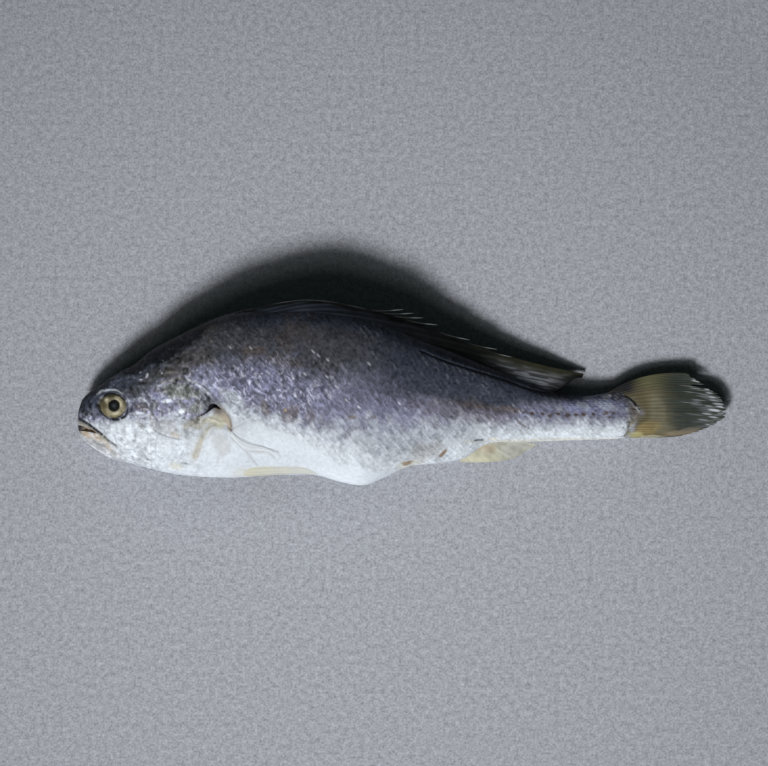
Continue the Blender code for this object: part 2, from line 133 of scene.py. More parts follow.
SLIT_LINE = ((52.6, -0.5), (55.4, 0.9), (57.2, 2.4), (58.6, 4), (60.2, 3.8), (62, 2.7))
SLIT_HALF_WIDTHS = ((0, 0), (0.28, 0.15), (0.48, 0.4), (0.64, 0.9), (0.8, 0.5), (1, 0))
SLIT_DEPTH = 2.0

# Mouth: the gap between the lips, and the line to their corner
MOUTH_OUTLINE = (
    (-2, -4.2), (1.6, -4.4), (3.4, -5.1), (8.4, -7.1), (8.6, -7.7), (3, -6.8), (1.6, -6.9), (-2, -6.8),
)
MOUTH_DEPTH = 1.4

# Eye: the opening between the lids, the ball's centre and half sizes, and how far it stands out of the head
EYE_OPENING = (
    (9.1, 4.7), (10, 7.2), (12.2, 8.9), (15.6, 9.5), (18.9, 8.7), (21.2, 6.6), (21.9, 4), (21.2, 1.4),
    (19.3, -0.5), (16.6, -1.2), (13.8, -0.5), (11.5, 1.3), (9.8, 3.2),
)
EYE_PLACE = (15.4, 4.2)
EYE_RADII = (6.9, 5.9, 4.0)
EYE_SHOWS = 1.4
EYE_PROBE = 2.0
EYE_FULLNESS = 3.0
SOCKET_DEPTH = 2.6
LID_LIFT = 0.2
LID_WIDTH = 1.3
PUPIL_OFFSET = (1.05, -0.2)
PUPIL_RADIUS = 2.6
EYE_GRID = (120, 128)

# Boundaries on the flank, as height over distance from the snout, and how wide each of them blends
MILK_LINE = (
    (0, -3.6), (4, -3.6), (8, -3.4), (12, -3.8), (16, -3.6), (23, -1.8), (29, -2.2), (34, -3.2), (42, -2.6),
    (47, -3.4), (51, -5), (55, -2.4), (58, 1.6), (63, 5.6), (70, 3.8), (78, -0.2), (87, -1.2), (95, -3.4),
    (104, -6.4), (112, -6.8), (121, -6.8), (130, -9), (139, -10.6), (148, -9.8), (156, -4.4), (164, -3),
    (173, -3), (182, -3.2), (190, -3.2), (207, -4.2), (224, -3.2), (235, -3.6), (245, -4),
)
MILK_BLEND = (
    (0, 3), (20, 6), (32, 8), (46, 11), (58, 6), (70, 13), (87, 11), (104, 14), (121, 24), (139, 32),
    (156, 22), (173, 9), (190, 8), (207, 10), (224, 8), (245, 6),
)
SLATE_LINE = (
    (0, -0.6), (4, 0.2), (8, 1.6), (12, 7.6), (20, 9.6), (24, 8.4), (31, 10), (36, 13), (40, 15.4),
    (45, 17.6), (52, 19.2), (60, 20.4), (70, 20), (76, 22), (87, 20.5), (95, 17.5), (104, 14.6),
    (121, 14.2), (130, 12.8), (139, 10.6), (148, 9.6), (156, 7.8), (165, 5), (173, 2.6), (182, 3),
    (190, 4.6), (198, 6), (207, 7.4), (216, 9), (224, 10), (235, 11.2), (245, 12),
)
SLATE_BLEND = (
    (0, 4), (20, 3.5), (32, 6), (45, 9), (60, 12), (70, 13), (87, 16), (104, 18), (121, 18), (139, 13),
    (156, 9), (173, 6), (190, 5.5), (207, 5), (224, 4), (245, 4),
)

# Width of the dark crest of the head and height of the side line, over distance from the snout
CREST_WIDTH = ((0, 3.2), (20, 3.4), (27, 8), (38, 13), (46, 10), (56, 6), (66, 0.5), (70, 0.1))
SIDE_LINE = (
    (0, 12), (50, 15), (75, 17.5), (100, 17), (125, 13), (155, 6.6), (183, 3), (199, 0.9), (213, 0.2),
    (235, 0.9), (245, 1),
)

# Scales: pitch along and across over distance from the snout, half sizes and jitter of each in pitches,
# the layers of the noise table that their jitter, tone and lean are drawn from, and how far and in what
# steps the pitches are summed
SCALE_PITCH = ((0, 2.2), (25, 2.4), (60, 2.9), (110, 3.3), (160, 2.9), (200, 2.3), (245, 2))
SCALE_ROWS = ((0, 1.3), (25, 1.4), (60, 1.75), (110, 2), (160, 1.7), (200, 1.35), (245, 1.2))
SCALE_REACH = (1.25, 1.25)
SCALE_JITTER = (0.25, 0.3)
SCALE_DRAWS = (3, 5, 7, 9)
SCALE_SPAN = 260.0
SCALE_STEP = 0.1
SCALE_RELIEF = 0.13
THREAD_RELIEF = 0.07

# Streaks that fall towards the tail, which paint light and shade on the scales' slopes: their direction,
# where they are strong and how far that reaches, and the line under which the belly is white and has none
STREAK_TURN = (0.643, 0.766)
STREAK_PLACE = (80.0, 12.0, 30.0, 14.0)
WHITE_LINE = (
    (30, -24), (55, -14), (62, 0), (70, -1), (80, -3.5), (90, -6.5), (95, -8.5), (100, -11.5), (106, -15.5),
    (113, -19), (125, -22), (137, -23), (150, -24), (245, -24),
)

# How far back the wrinkles and mottles of the head reach
HEAD_END = 64.0

# Soft edge of a patch, in shares of its size: where it ends, how wide it is and how much noise moves it,
# and how far from its centre it is looked for
PATCH_EDGE = (1.3, 0.7, 0.9)
PATCH_REACH = 1.7

# Patches of colour on the skin: for each layer, (x, y, half length, half height, turn in degrees, strength)
PATCHES = {
    "violet": (
        (57, 17, 9, 7, -20, 0.35), (76, 16, 14, 6, -12, 0.35), (96, 11, 16, 7, -20, 0.2),
        (134, -2, 14, 8, -10, 0.15), (220, 4.2, 12, 3.2, 0, 0.7), (4.6, 3.2, 1, 0.6, -30, 0.5),
        (6.6, -1.6, 3, 1.2, -35, 0.4), (27, 12.4, 3, 1.4, 10, 0.6), (33, 11.2, 2.4, 1.4, 0, 0.6),
        (36, 7.5, 4, 3.5, 0, 0.35), (22, -2.4, 5, 2, 10, 0.4),
    ),
    "slate": (
        (2.6, 2, 2.8, 4.8, 10, 0.95), (9.6, 1, 2, 1.6, -30, 0.5), (12, -9.6, 1.6, 0.5, -40, 0.3),
        (5.8, 4.6, 2, 0.8, 0, 0.9), (4.2, 1.8, 0.9, 0.5, 0, 0.8), (6, 0.3, 0.7, 0.6, 0, 0.8),
        (3.3, -0.6, 0.8, 0.5, 0, 0.7), (7.8, -1.3, 0.6, 0.7, 0, 0.6), (55, 6.6, 5, 2.8, -20, 0.8),
        (60.6, 5.6, 3.2, 1.4, -35, 0.85), (28.5, 4.6, 5, 1.2, -8, 0.65), (33, 4, 3.4, 1.2, 0, 0.45),
        (36.1, 1.8, 0.6, 0.6, 0, 0.7), (41.3, 2.1, 0.8, 0.6, 0, 0.7), (230.2, 9.3, 1.6, 1, 10, 1),
        (231.6, 8.2, 2.4, 2.4, -30, 0.8),
    ),
    "sage": (
        (44.4, 10.4, 7.4, 3.6, -10, 0.95), (51.6, 2.9, 3.8, 2.6, -15, 0.9), (48.3, -7.8, 3, 2.6, 0, 0.35),
    ),
    "brown": (
        (45.5, 12.4, 4.6, 1.5, -8, 0.5), (37, 11, 5, 2, 10, 0.3), (43, 17.5, 7, 3.5, 10, 0.35),
        (50, 24, 9, 4, 20, 0.25), (29, 2.6, 3.6, 1.4, -10, 0.45), (39, -4.5, 6, 3, -20, 0.3),
        (50.6, -2.6, 3.4, 1.2, 12, 0.55), (76.5, 27.4, 6, 2.4, 0, 0.5), (90, 23, 9, 2.6, -12, 0.25),
        (81, 3.5, 2, 3.4, 20, 0.55), (92, 0.5, 3.6, 4.2, -30, 0.45), (100.5, 0, 2.6, 3, 0, 0.35),
        (118.2, -0.9, 2, 1, 0, 0.7), (127, -0.8, 1.6, 0.9, 0, 0.5), (166, 2, 22, 5, -8, 0.3),
        (170, 4, 13, 1.1, -8, 0.5), (186, 2.4, 5, 1.4, -10, 0.6), (238.4, 2.6, 2.4, 2.4, -40, 0.7),
        (147, -14.4, 1.2, 1.8, -50, 0.3),
    ),
    "buff": (
        (52, -3.6, 6.4, 2.4, 12, 0.75), (3.2, -4.4, 3.8, 0.8, -28, 0.9), (10, -8.6, 5, 0.9, -40, 0.85),
    ),
    "grey": (
        (10.5, -13, 9.5, 3.3, -30, 0.8), (149, -15.4, 9, 3.6, 14, 0.55), (32.8, -2, 1.2, 4, 10, 0.4),
        (62, -11.5, 6, 4, -60, 0.5), (27.7, -4, 2.2, 0.8, -50, 0.45),
    ),
    "yellow": (
        (61, -2.2, 4.6, 3.8, 5, 0.9), (42.8, -22, 3, 1.6, 0, 0.5), (75, -24.6, 9, 2, 0, 0.35),
        (44.6, 33, 1.1, 0.5, -40, 0.9), (178.4, -10.4, 2, 0.9, 0, 0.6), (205, -10.9, 36, 0.9, 1, 0.5),
        (238.6, -9, 3, 1.6, 0, 0.7), (142, -21.2, 6, 1.6, 15, 0.5),
    ),
    "tan": (
        (239.6, -6, 2.6, 3, 20, 0.55), (42.9, -8.2, 2.2, 1.1, -20, 0.5), (4.2, -7.9, 3.4, 1.5, -25, 0.9),
        (8.6, -9.7, 4, 1.2, -38, 0.8), (13.4, -13.4, 3.2, 0.9, -40, 0.45), (89.6, 2.1, 0.7, 0.7, 0, 0.8),
    ),
    "rust": (
        (240.6, -5, 2.2, 3, 20, 0.35), (5.4, -6.5, 3.6, 0.7, -22, 0.95), (142, -20.4, 2.6, 0.9, 14, 0.75),
        (157.2, -16, 2.6, 0.9, 48, 0.85),
    ),
    # The first ink patch is painted shade in the mouth's hole
    "ink": ((1.3, -5.7, 1.1, 0.9, -10, 0.9), (4.4, 6.4, 5.6, 1.9, 50, 0.45)),
    "milk": (
        (45.6, 2, 1.8, 1.3, 25, 1), (39.2, 6, 1.9, 0.8, 5, 0.8), (51, 8.1, 1.1, 0.5, -20, 0.8),
        (27.4, 0.8, 4, 0.8, 3, 0.7), (64.8, 3, 2.8, 1.6, -35, 0.8), (67, 7.6, 6, 2.6, -35, 0.6),
        # The milk patch at (44.6, -13.5) is painted light on the gill cover's rear edge, where the relief
        # throws shade
        (7, -8.8, 1, 0.4, -30, 0.6), (44.6, -13.5, 2.2, 6, 0, 0.7), (227, 3.8, 4.6, 1.6, -15, 0.35),
    ),
    # Painted highlights on the wet skin of the head and snout
    "pearl": (
        (27.6, 18.2, 0.9, 0.5, 30, 0.75), (30.7, 17, 0.6, 1.2, -15, 0.7), (28, 15.1, 0.7, 0.3, 0, 0.6),
        (37, 17.8, 0.4, 0.5, 0, 0.5), (4.2, -2.2, 1.3, 0.4, -30, 0.4), (5.9, -1.5, 0.6, 0.3, 20, 0.5),
    ),
}

# Broad changes of tone on the skin: (x, y, half length, half height, turn in degrees, change of tone). Some
# are painted light and shade, as the light on the gill cover's rear edge at (44.5, -12), where the relief
# throws shade, and the shade round the gill slit at (60.6, 2).
SHADES = (
    (3.5, 4.5, 4, 5, 0, -0.2), (12, -10, 3, 2.5, -40, -0.1), (20, -14, 4, 3, 0, 0.12),
    (16, 14.5, 6, 3, 30, 0.55), (28, 23, 6, 4, 35, -0.14), (49, 26, 9, 5, 20, -0.2),
    (36, -10, 4, 6, 0, -0.08), (43, 3, 9, 4, 0, 0.32), (44.5, -12, 3, 6, 0, 0.12), (52, -4, 3, 4, 0, -0.12),
    (60.5, 9, 4, 6, 0, 0.38), (60.6, 2, 3, 2.2, -20, -0.5), (60, -3, 4, 2, 0, -0.1),
    (68, 17, 4, 6, 0, -0.08), (104, 2, 14, 3, 0, 0.1), (148, 2, 14, 3, 0, 0.12), (70, -5, 5, 4, 0, -0.1),
    (78, 0, 6, 4, 0, -0.12), (76, 7, 6, 3, 0, 0.2), (48, -2, 6, 2.6, 0, -0.14), (140, -2, 4, 3, 0, 0.18),
    (182, -1, 6, 2.4, 0, 0.14), (168, 14, 26, 6, -18, 0.07), (156, -18, 4, 2.4, 0, -0.14),
    (140, -14, 4, 2.6, 0, -0.1), (116, -1, 5, 7, 0, 0.1), (156, 1, 5, 4, 0, 0.14),
    (148, -14.5, 13, 5, 10, -0.19), (116, -12, 12, 4, 0, -0.08), (128, -21, 8, 4, 0, 0.05),
    (180, -6, 7, 4, 0, -0.1), (212, 3, 5, 2.4, 0, 0.14), (224, -6.5, 6, 2.5, 0, -0.08),
    (60, -20.5, 40, 4.5, 0, -0.09),
)

# Lines on the skin: layer, width at start and end, strength, relief, points
STROKES = (
    # The next two ink lines are painted shade in the groove along the upper lip
    ("ink", 0.95, 0.75, 1, -0.4,
     ((0.2, -1.3), (2.4, -2.6), (4.5, -3.8), (6.8, -5.3), (9.1, -7), (11.5, -8.8))),
    ("ink", 0.7, 0.45, 0.75, -0.3, ((11.5, -8.8), (13.5, -10.6), (15.6, -12), (17.4, -13.2))),
    ("brown", 0.4, 0.6, 0.5, 0, ((13, -10.6), (15.4, -12.4), (18, -14.2))),
    ("brown", 0.3, 0.5, 0.4, 0, ((8.9, -11.2), (11.2, -12.6), (14, -14.2))),
    ("milk", 0.3, 0.4, 0.5, 0, ((6, -11.2), (9.5, -13.4), (13.4, -15.6), (18, -17.4))),
    ("milk", 0.5, 0.8, 0.9, 0.15, ((2.2, -10.2), (5, -12.5), (9.1, -15.1), (12.7, -17.1), (16.8, -18.8))),
    # Pale raised rim of the jaw, painted as a highlight
    ("pearl", 0.4, 0.5, 0.55, 0.1, ((0.9, -7.9), (2, -10), (5, -12.4), (9.1, -15), (13.7, -17.4))),
    ("milk", 0.3, 0.3, 0.6, 0.1, ((5, -10.6), (8, -12.6), (11.6, -14.8))),
    # The next three lines paint shadow in the gap under the eye's lower lid and shade under its upper lid
    ("ink", 0.6, 1, 1, 0, ((8.6, 4.4), (10, 2.1), (12.2, 0), (14.2, -1.3), (16.6, -1.9), (19.2, -1.5))),
    ("ink", 0.95, 0.5, 1, 0, ((19.2, -1.5), (21, -0.6), (22.1, 0.9), (22.5, 3))),
    ("slate", 0.5, 0.5, 0.6, 0, ((22.3, 3.2), (22, 5.8), (20.8, 7.9), (18.6, 9.3), (15.6, 9.8))),
    ("milk", 0.5, 0.7, 0.75, 0.25, ((8.7, 8.7), (10.4, 10), (12.4, 10.6))),
    ("milk", 0.6, 0.4, 0.85, 0.25, ((11.8, 10.4), (15, 10.9), (17.8, 10.6), (20.2, 9.2))),
    ("milk", 0.5, 0.5, 0.4, 0.1, ((21.8, 8.2), (23, 5.8), (23.3, 3.2))),
    ("milk", 0.4, 0.5, 0.6, 0.15, ((24.6, 6.6), (27, 7.4), (29, 6.9), (30.6, 5.7))),
    ("slate", 0.4, 0.4, 0.5, -0.15, ((26, -2.4), (27.6, -4.2), (29.4, -6.2))),
    ("brown", 0.5, 0.3, 0.5, -0.15, ((31.8, 1), (32.6, -2.4), (33.4, -5.6))),
    ("brown", 0.35, 0.45, 0.5, -0.25, ((33.4, -5.9), (37, -7.9), (41, -9.2), (45.6, -10.1))),
    ("slate", 0.3, 0.3, 0.25, -0.15, ((45.6, -10.1), (48.2, -11.8), (50.6, -13.8))),
    ("slate", 0.3, 0.3, 0.3, -0.2, ((46.9, -14.6), (45, -17.4), (42, -19.6))),
    ("slate", 0.3, 0.3, 0.25, -0.2, ((47.4, -17.4), (44.4, -19.8), (41.2, -21.6))),
    ("slate", 0.35, 0.6, 0.5, -0.2, ((46.6, -1.6), (49.6, -1.3), (52.6, -0.5))),
    ("brown", 0.4, 0.6, 0.7, 0, ((49.6, -1.6), (52.8, -0.9), (55.6, 0.3))),
    ("brown", 1.1, 0.7, 0.9, 0,
     ((60.4, 3.4), (62.8, 2.2), (64.6, 0.4), (66, -2.2), (66.6, -5), (66.8, -7.4))),
    ("tan", 1.6, 0.8, 0.75, 0, ((59.6, 2.2), (61.6, 1), (63.8, -1), (65.2, -3.4), (66, -6.6))),
    ("milk", 0.5, 0.6, 0.75, 0.2, ((57, -1.4), (59.8, -2.2), (62, -3.2), (64.2, -3))),
    ("milk", 0.35, 0.3, 0.7, 0.2, ((56, -7.2), (58, -5.4), (60, -4.4))),
    ("buff", 1.3, 1.4, 0.8, 0, ((58, -4.2), (55.4, -7.4), (53.4, -11), (51.6, -15.4), (50.2, -19.4))),
    ("tan", 0.4, 0.5, 0.45, -0.1, ((54.6, -10.2), (53.2, -14.2), (52, -18.4))),
    ("slate", 0.3, 0.3, 0.25, -0.15, ((56.2, -8.4), (54.8, -12.4), (54.4, -15.4))),
    ("milk", 0.5, 0.5, 0.6, 0.1, ((33.4, 11.6), (35.6, 12.7), (38.4, 13.8))),
    ("milk", 0.4, 0.6, 0.75, 0.15, ((47.6, 15.8), (50, 14.4), (53, 12.8), (55.6, 10.8), (57.6, 8.8))),
    ("slate", 0.35, 0.45, 0.7, -0.15, ((52.4, 13.8), (54.8, 12.6), (57.2, 11.2))),
    ("buff", 0.5, 0.4, 0.35, 0.1, ((36, 13.6), (39.6, 14.6), (43.4, 15.6), (47, 15.4))),
    ("buff", 0.5, 0.4, 0.25, 0.1, ((38.6, 18.2), (42, 18.4), (45.4, 17.6))),
    ("grey", 0.8, 0.5, 0.6, -0.12, ((67, -7.8), (69.6, -10.2), (72.8, -12), (76.8, -13.2))),
    ("grey", 1, 0.6, 0.7, -0.12, ((66.4, -8.6), (69.6, -11.6), (73, -14.6), (77.4, -15.4), (81.8, -15.6))),
    ("grey", 0.6, 0.5, 0.5, -0.1, ((81.8, -15.6), (83.8, -16.8), (85.2, -18.4))),
    ("grey", 0.7, 0.5, 0.5, -0.1, ((72.6, -14.6), (75.2, -18.2), (77.9, -21.7))),
    ("grey", 0.6, 0.5, 0.35, -0.1, ((86.2, -14.6), (87.6, -18.4))),
    ("milk", 0.5, 0.5, 0.7, 0.2, ((67.6, -4.6), (70.4, -3.2), (73.6, -1.2), (76.4, -0.4))),
    ("grey", 0.6, 0.5, 0.5, -0.1, ((67.4, -5.6), (70.4, -4.2), (73.6, -2.4))),
    ("grey", 0.6, 0.5, 0.3, -0.05, ((63.2, -11.6), (61.4, -16.5), (60.8, -20.5))),
    # The next two ink lines paint shade where the back meets the dorsal fin: its groove, and the shaded band
    # beside it
    ("ink", 0.4, 0.7, 0.8, -0.3,
     ((147, 27.6), (158, 23), (171.2, 18.8), (184.6, 14.5), (195.3, 10.7), (203, 9.2), (210.3, 8.3))),
    ("ink", 1.4, 1.2, 0.5, 0,
     ((150, 28.8), (160, 24.9), (172, 20.8), (184.8, 16.6), (195.5, 12.6), (203, 10.8))),
    ("ink", 0.4, 0.5, 0.85, -0.1, ((170.2, -11), (171.8, -10.7), (174.2, -10.7))),
    ("slate", 0.35, 0.35, 0.6, 0, ((171.6, -6.7), (172.4, -7.1))),
    ("slate", 0.3, 0.3, 0.6, 0, ((168.8, 0.6), (170, -1.2), (171.2, -0.4))),
    ("brown", 0.4, 0.6, 0.6, 0, ((187.6, -1), (190, -3.4), (192.6, -5.4))),
    ("ink", 0.6, 0.6, 0.6, -0.1, ((193.2, -5.3), (193.8, -5.9))),
    ("ink", 0.7, 0.7, 0.3, -0.1, ((233.8, 8.8), (235.6, 6.6), (237.6, 4.6))),
    # Pale line along the rim of the stalk's end, painted as a highlight
    ("pearl", 0.4, 0.5, 0.3, 0.1, ((235, 8.4), (237.4, 6), (239.8, 3.6), (242.2, 0.8))),
    ("milk", 0.6, 0.6, 0.3, 0, ((238.6, 8), (241, 5.6), (242.6, 3), (243.2, 1))),
    ("milk", 0.3, 0.3, 0.7, 0.2, ((234.8, -0.6), (233.4, -2.6), (232.2, -4.8))),
    ("milk", 0.3, 0.3, 0.7, 0.2, ((237.4, -1.2), (235.4, -3.2), (233.6, -5.6))),
    ("slate", 0.3, 0.3, 0.4, -0.15, ((235.8, -0.6), (234, -2.9), (232.8, -4.8))),
)

# Dark spots of the side line on the stalk: (x, y, size), and painted glints of single scales: (x, y)
LINE_SPOTS = (
    (172.3, 3.5, 0.8), (180.5, 2.8, 0.6), (187.5, 1.7, 1.1), (191.5, 1.2, 0.7), (195.1, 0.7, 1),
    (199.6, 0.5, 0.9), (202.7, -0.3, 1), (206.2, 0.5, 0.8), (210.3, -0.3, 1.1), (213.8, 0.2, 0.9),
    (217.1, 0.3, 1.1), (221.4, 0.5, 0.9), (222.4, 2, 0.6), (226.9, 0.8, 1.1), (228.2, -0.9, 0.7),
    (230.1, 0.8, 0.8),
)
SCALE_GLINTS = (
    (77, 17.2), (88.3, 12.9), (93, 15.9), (101.5, 27), (103.8, 25.3), (107.6, 23.6), (107.4, 16.3),
    (111.5, 12), (115.6, 6.4), (125.2, 21.9), (138.1, 5.1), (75, 28.5), (66, 29), (82.5, 18), (71.5, 16.5),
    (98, 17.5), (121, 3.4), (94, 8.4),
)

# The fins have the solids' outlines, with the ends of the tail's rays, of the soft dorsal fin and of its
# last free spine drawn out a little further.

# Tail: distance from the snout at which the stalk's skin ends, over height, then the three rows of points
# that its rays' curves follow, and its height over the ground, thickness and frayed end
TAIL_JOINT = ((-10.5, 236.5), (-4.7, 238), (-1.3, 240.2), (2.1, 242.6), (5, 240.5), (9, 236), (11, 232))
TAIL_ROOTS = ((228, -9), (231, -6), (236, 1), (231, 7), (226, 8.2))
TAIL_BENDS = ((245, -10.9), (250, -6.5), (256, 1), (250.5, 12.2), (240.6, 19.4))
TAIL_TIPS = ((260.5, -8.9), (272.7, -5.1), (280, 0.9), (275, 9.2), (262.6, 17.9))
TAIL_HEIGHTS = (3.2, 4.7, 6.3, 6.5, 6.4)
TAIL_THICKNESS = (3.2, 0.45)
TAIL_CUP = 0.6
TAIL_LEVEL = 0.62
TAIL_RAYS = 22
TAIL_RIDGE = 0.06
TAIL_WAVE = 0.3
TAIL_REACH = 0.972
TAIL_FRAY = (0.026, 0.014)
TAIL_GRID = (150, 256)

# Splits between the tail's rays, as shares of the fin: place across, half width and depth
TAIL_SPLITS = ((0.83, 0.022, 0.15), (0.515, 0.014, 0.06))

# Dorsal fin: from its root, sunk in the back, to its edge, with its height over the ridge from end to end
DORSAL_ROOT = (
    (66, 41), (84, 43.4), (99.9, 43.7), (117, 40.4), (142.8, 32.2), (162.5, 25.3), (181.4, 17), (199, 10.6),
    (212, 7),
)
DORSAL_EDGE = (
    (68, 43.6), (84, 47.4), (99.9, 49.2), (117, 46.9), (142.8, 40.6), (162.5, 33), (181.4, 26.4),
    (199, 21.6), (217.5, 17.6),
)
DORSAL_THICKNESS = (1.0, 2.8, 2.8, 2.6, 2.2, 1.8, 1.4, 1.2, 1.0)
DORSAL_EDGE_THICKNESS = 0.7
DORSAL_LEAN = 0.3
DORSAL_SINK = 1.6
DORSAL_RISES = (3.0, 4.2, 4.2, 3.2, 0.6, -0.9, -2.0, -2.2, -4.6)
DORSAL_RIDGES = (3.4, 9.0)
DORSAL_RIDGE = 0.1
DORSAL_GRID = (640, 52)

# Free spines of the dorsal fin: where each ends, and the slope, sag and radii that they share
SPINE_TIPS = (
    (139.8, 45.2), (144.1, 43.6), (148.2, 41.6), (154.4, 38.6), (168.2, 32.2), (180, 28.2), (186.4, 24.9),
)
SPINE_LENGTH = 16.0
SPINE_SLOPE = -0.28
SPINE_SINK = 0.6
SPINE_SAG = 0.36
SPINE_RADII = (0.55, 0.05)
SPINE_CAP = 0.3
SPINE_GRID = (28, 14)

# Anal fin: as the dorsal fin, with its height over the ground
ANAL_ROOT = ((163, -17), (168, -14.5), (174, -11), (182, -9.5))
ANAL_EDGE = ((164.5, -20.4), (173, -20.6), (186.5, -19.2), (198.5, -12.7))
ANAL_HEIGHTS = (9.8, 5.0)
ANAL_THICKNESS = (1.6, 0.5)
ANAL_RAYS = 9
ANAL_RIDGE = 0.04
ANAL_FRAY = 0.05
ANAL_GRID = (60, 150)

# Pectoral and pelvic fins: their two long edges, and how far they stand out from the skin and sink into it
PECTORAL_LOWER = ((66, -8.2), (69, -11.5), (73.3, -14.8), (82.5, -15.4), (87.5, -18.6))
PECTORAL_UPPER = ((67, -6.6), (69, -8.6), (74, -11.2), (80.5, -13.2), (87.8, -15.9))
PELVIC_LOWER = ((70.5, -26), (80, -26.1), (90, -25.3), (97, -25.2), (103.3, -25.6))
PELVIC_UPPER = ((73, -22.6), (80, -21.9), (90, -21.9), (97, -22.2), (103.3, -24.6))
PAIRED_GRID = (200, 48)
PAIRED_LIFT = 0.35
PAIRED_SINK = 1.2
PAIRED_RAYS = 3
PAIRED_RIDGE = 0.08
PECTORAL_TINT = 0.1
PELVIC_TINT = 0.6

# Noises: size in millimetres, or in the streaks, threads and strips that they follow, octaves and seed
ROUGH = (3.0, 4, 1)
BROAD = (14.0, 4, 2)
FINE = (0.9, 2, 3)
WOBBLE = (3.2, 2, 15)
STREAKS = (1.0, 3, 5)
THREADS = (1.0, 2, 17)
EARTH = (5.0, 3, 25)
GLOOM = (2.4, 2, 19)
WRINKLES = (5.0, 3, 31)
FOLDS = (2.2, 3, 33)
MOTTLES = (1.5, 3, 37)
MOTTLE_PATCHES = (4.0, 3, 39)
SPECKLES = (1.1, 2, 41)
GLINTS = (2.6, 3, 43)
TAIL_GRAIN = (4.0, 4, 41)
TAIL_STRIPS = (0.5, 3, 43)
DORSAL_GRAIN = (2.0, 3, 47)
DORSAL_STREAKS = (1.0, 2, 49)
ANAL_GRAIN = (3.0, 3, 53)
PAIRED_GRAIN = (1.5, 3, 57)
EYE_GRAIN = (1.6, 3, 61)

# Noises of one octave: size and seed
GLINT_PATCHES = (8.0, 21)
PEARL_PATCHES = (3.4, 23)
ANAL_RAGS = (1.0, 51)
EYE_SPOKES = (1.0, 63)

# Length and width in millimetres of the skin's streaks and of its threads, and how far both wander
STREAK_SIZE = (2.6, 1.1)
THREAD_SIZE = (2.3, 1.05)
WANDER = 1.7

# Camera: straight above, and how much of the ground the picture takes in
PICTURE_WIDTH = 329.3
PICTURE_CENTRE = (131.6, 13.7)
LENS = 300.0
SENSOR = 36.0
FOCUS_HEIGHT = 12.0

# Lights: name, strength and width in degrees, how many degrees they lean from straight above and turn
# from the foot of the picture, and the even fill
LIGHTS = (("key", 3.15, 12.0), ("key_wide", 0.8, 44.0))
LIGHT_FALL = 47.2
LIGHT_TURN = 25.5
LIGHT_COLOUR = (1.0, 0.99, 0.98)
FILL_COLOUR = (0.74, 1.0, 0.86, 1.0)
FILL_STRENGTH = 0.024

# Ground, in metres: half its side, how far it lies under the fish, its colour and tone, and the painted
# falloff of light that dims the tone across the picture and away from its middle
GROUND_REACH = 12.0
GROUND_DROP = 0.0002
GROUND = (0.362, 0.380, 0.428)
GROUND_TONE = 1.03
PAINTED_LIGHT_SLOPES = (-0.25, -0.75)
PAINTED_LIGHT_FALL = 3.6
GROUND_LIMITS = (0.75, 1.15)

# Mottles of the ground: size in millimetres, detail and share
GROUND_MOTTLES = ((0.9, 3.0, 1.3), (2.4, 2.0, 0.8))

# Painted shadow on the ground beside the belly, where the fish keeps light off it: centre and half sizes in
# metres, how dim, and what is left of that on its edge
BELLY_SHADE = (-0.058, -0.040, 0.060, 0.012)
BELLY_DIMMING = 0.15
BELLY_SHADE_EDGE = 0.37

# Linear colours
FLANK = (0.163, 0.168, 0.240, 1.0)
LAVENDER = (0.275, 0.296, 0.480, 1.0)
SLATE = (0.066, 0.070, 0.086, 1.0)
NAVY = (0.054, 0.064, 0.093, 1.0)
MILK = (0.550, 0.600, 0.660, 1.0)
BROWN = (0.115, 0.088, 0.072, 1.0)
SAGE = (0.150, 0.165, 0.155, 1.0)
GREY = (0.350, 0.355, 0.365, 1.0)
CREAM = (0.490, 0.480, 0.370, 1.0)
TAN = (0.370, 0.300, 0.220, 1.0)
RUST = (0.190, 0.110, 0.045, 1.0)
BUFF = (0.400, 0.390, 0.330, 1.0)
SILT = (0.430, 0.440, 0.400, 1.0)
# Pale pearl: pale marks, and the painted highlights and glints of the wet skin and fins
PEARL_GLINT = (0.780, 0.810, 0.900, 1.0)
# Black: dark marks and the pupil, and painted shade in the mouth, the gill slit, the eyes' gaps, grooves and
# shaded parts of the fins
INK_AND_SHADE = (0.010, 0.012, 0.016, 1.0)
OLIVE = (0.108, 0.108, 0.060, 1.0)
UMBER = (0.100, 0.088, 0.050, 1.0)
KHAKI = (0.155, 0.143, 0.100, 1.0)
OCHRE = (0.260, 0.205, 0.095, 1.0)
STRAW = (0.540, 0.510, 0.260, 1.0)
# Dusky green-black: the fins' own dark colour, and painted shade on the dorsal fin
DUSK_AND_SHADE = (0.034, 0.043, 0.037, 1.0)
IRIS = (0.240, 0.218, 0.150, 1.0)

# Layers of colour of each finish, from the lowest up
SKIN_LAYERS = (
    ("violet", LAVENDER), ("khaki", KHAKI), ("slate", SLATE), ("navy", NAVY), ("milk", MILK),
    ("brown", BROWN), ("sage", SAGE), ("grey", GREY), ("buff", BUFF), ("yellow", CREAM), ("tan", TAN),
    ("rust", RUST), ("pearl", PEARL_GLINT), ("ink", INK_AND_SHADE),
)
FIN_LAYERS = (
    ("violet", LAVENDER), ("olive", OLIVE), ("umber", UMBER), ("khaki", KHAKI), ("ochre", OCHRE),
    ("straw", STRAW), ("dusk", DUSK_AND_SHADE), ("navy", NAVY), ("milk", MILK), ("silt", SILT), ("yellow", CREAM),
    ("tan", TAN), ("pearl", PEARL_GLINT), ("ink", INK_AND_SHADE),
)
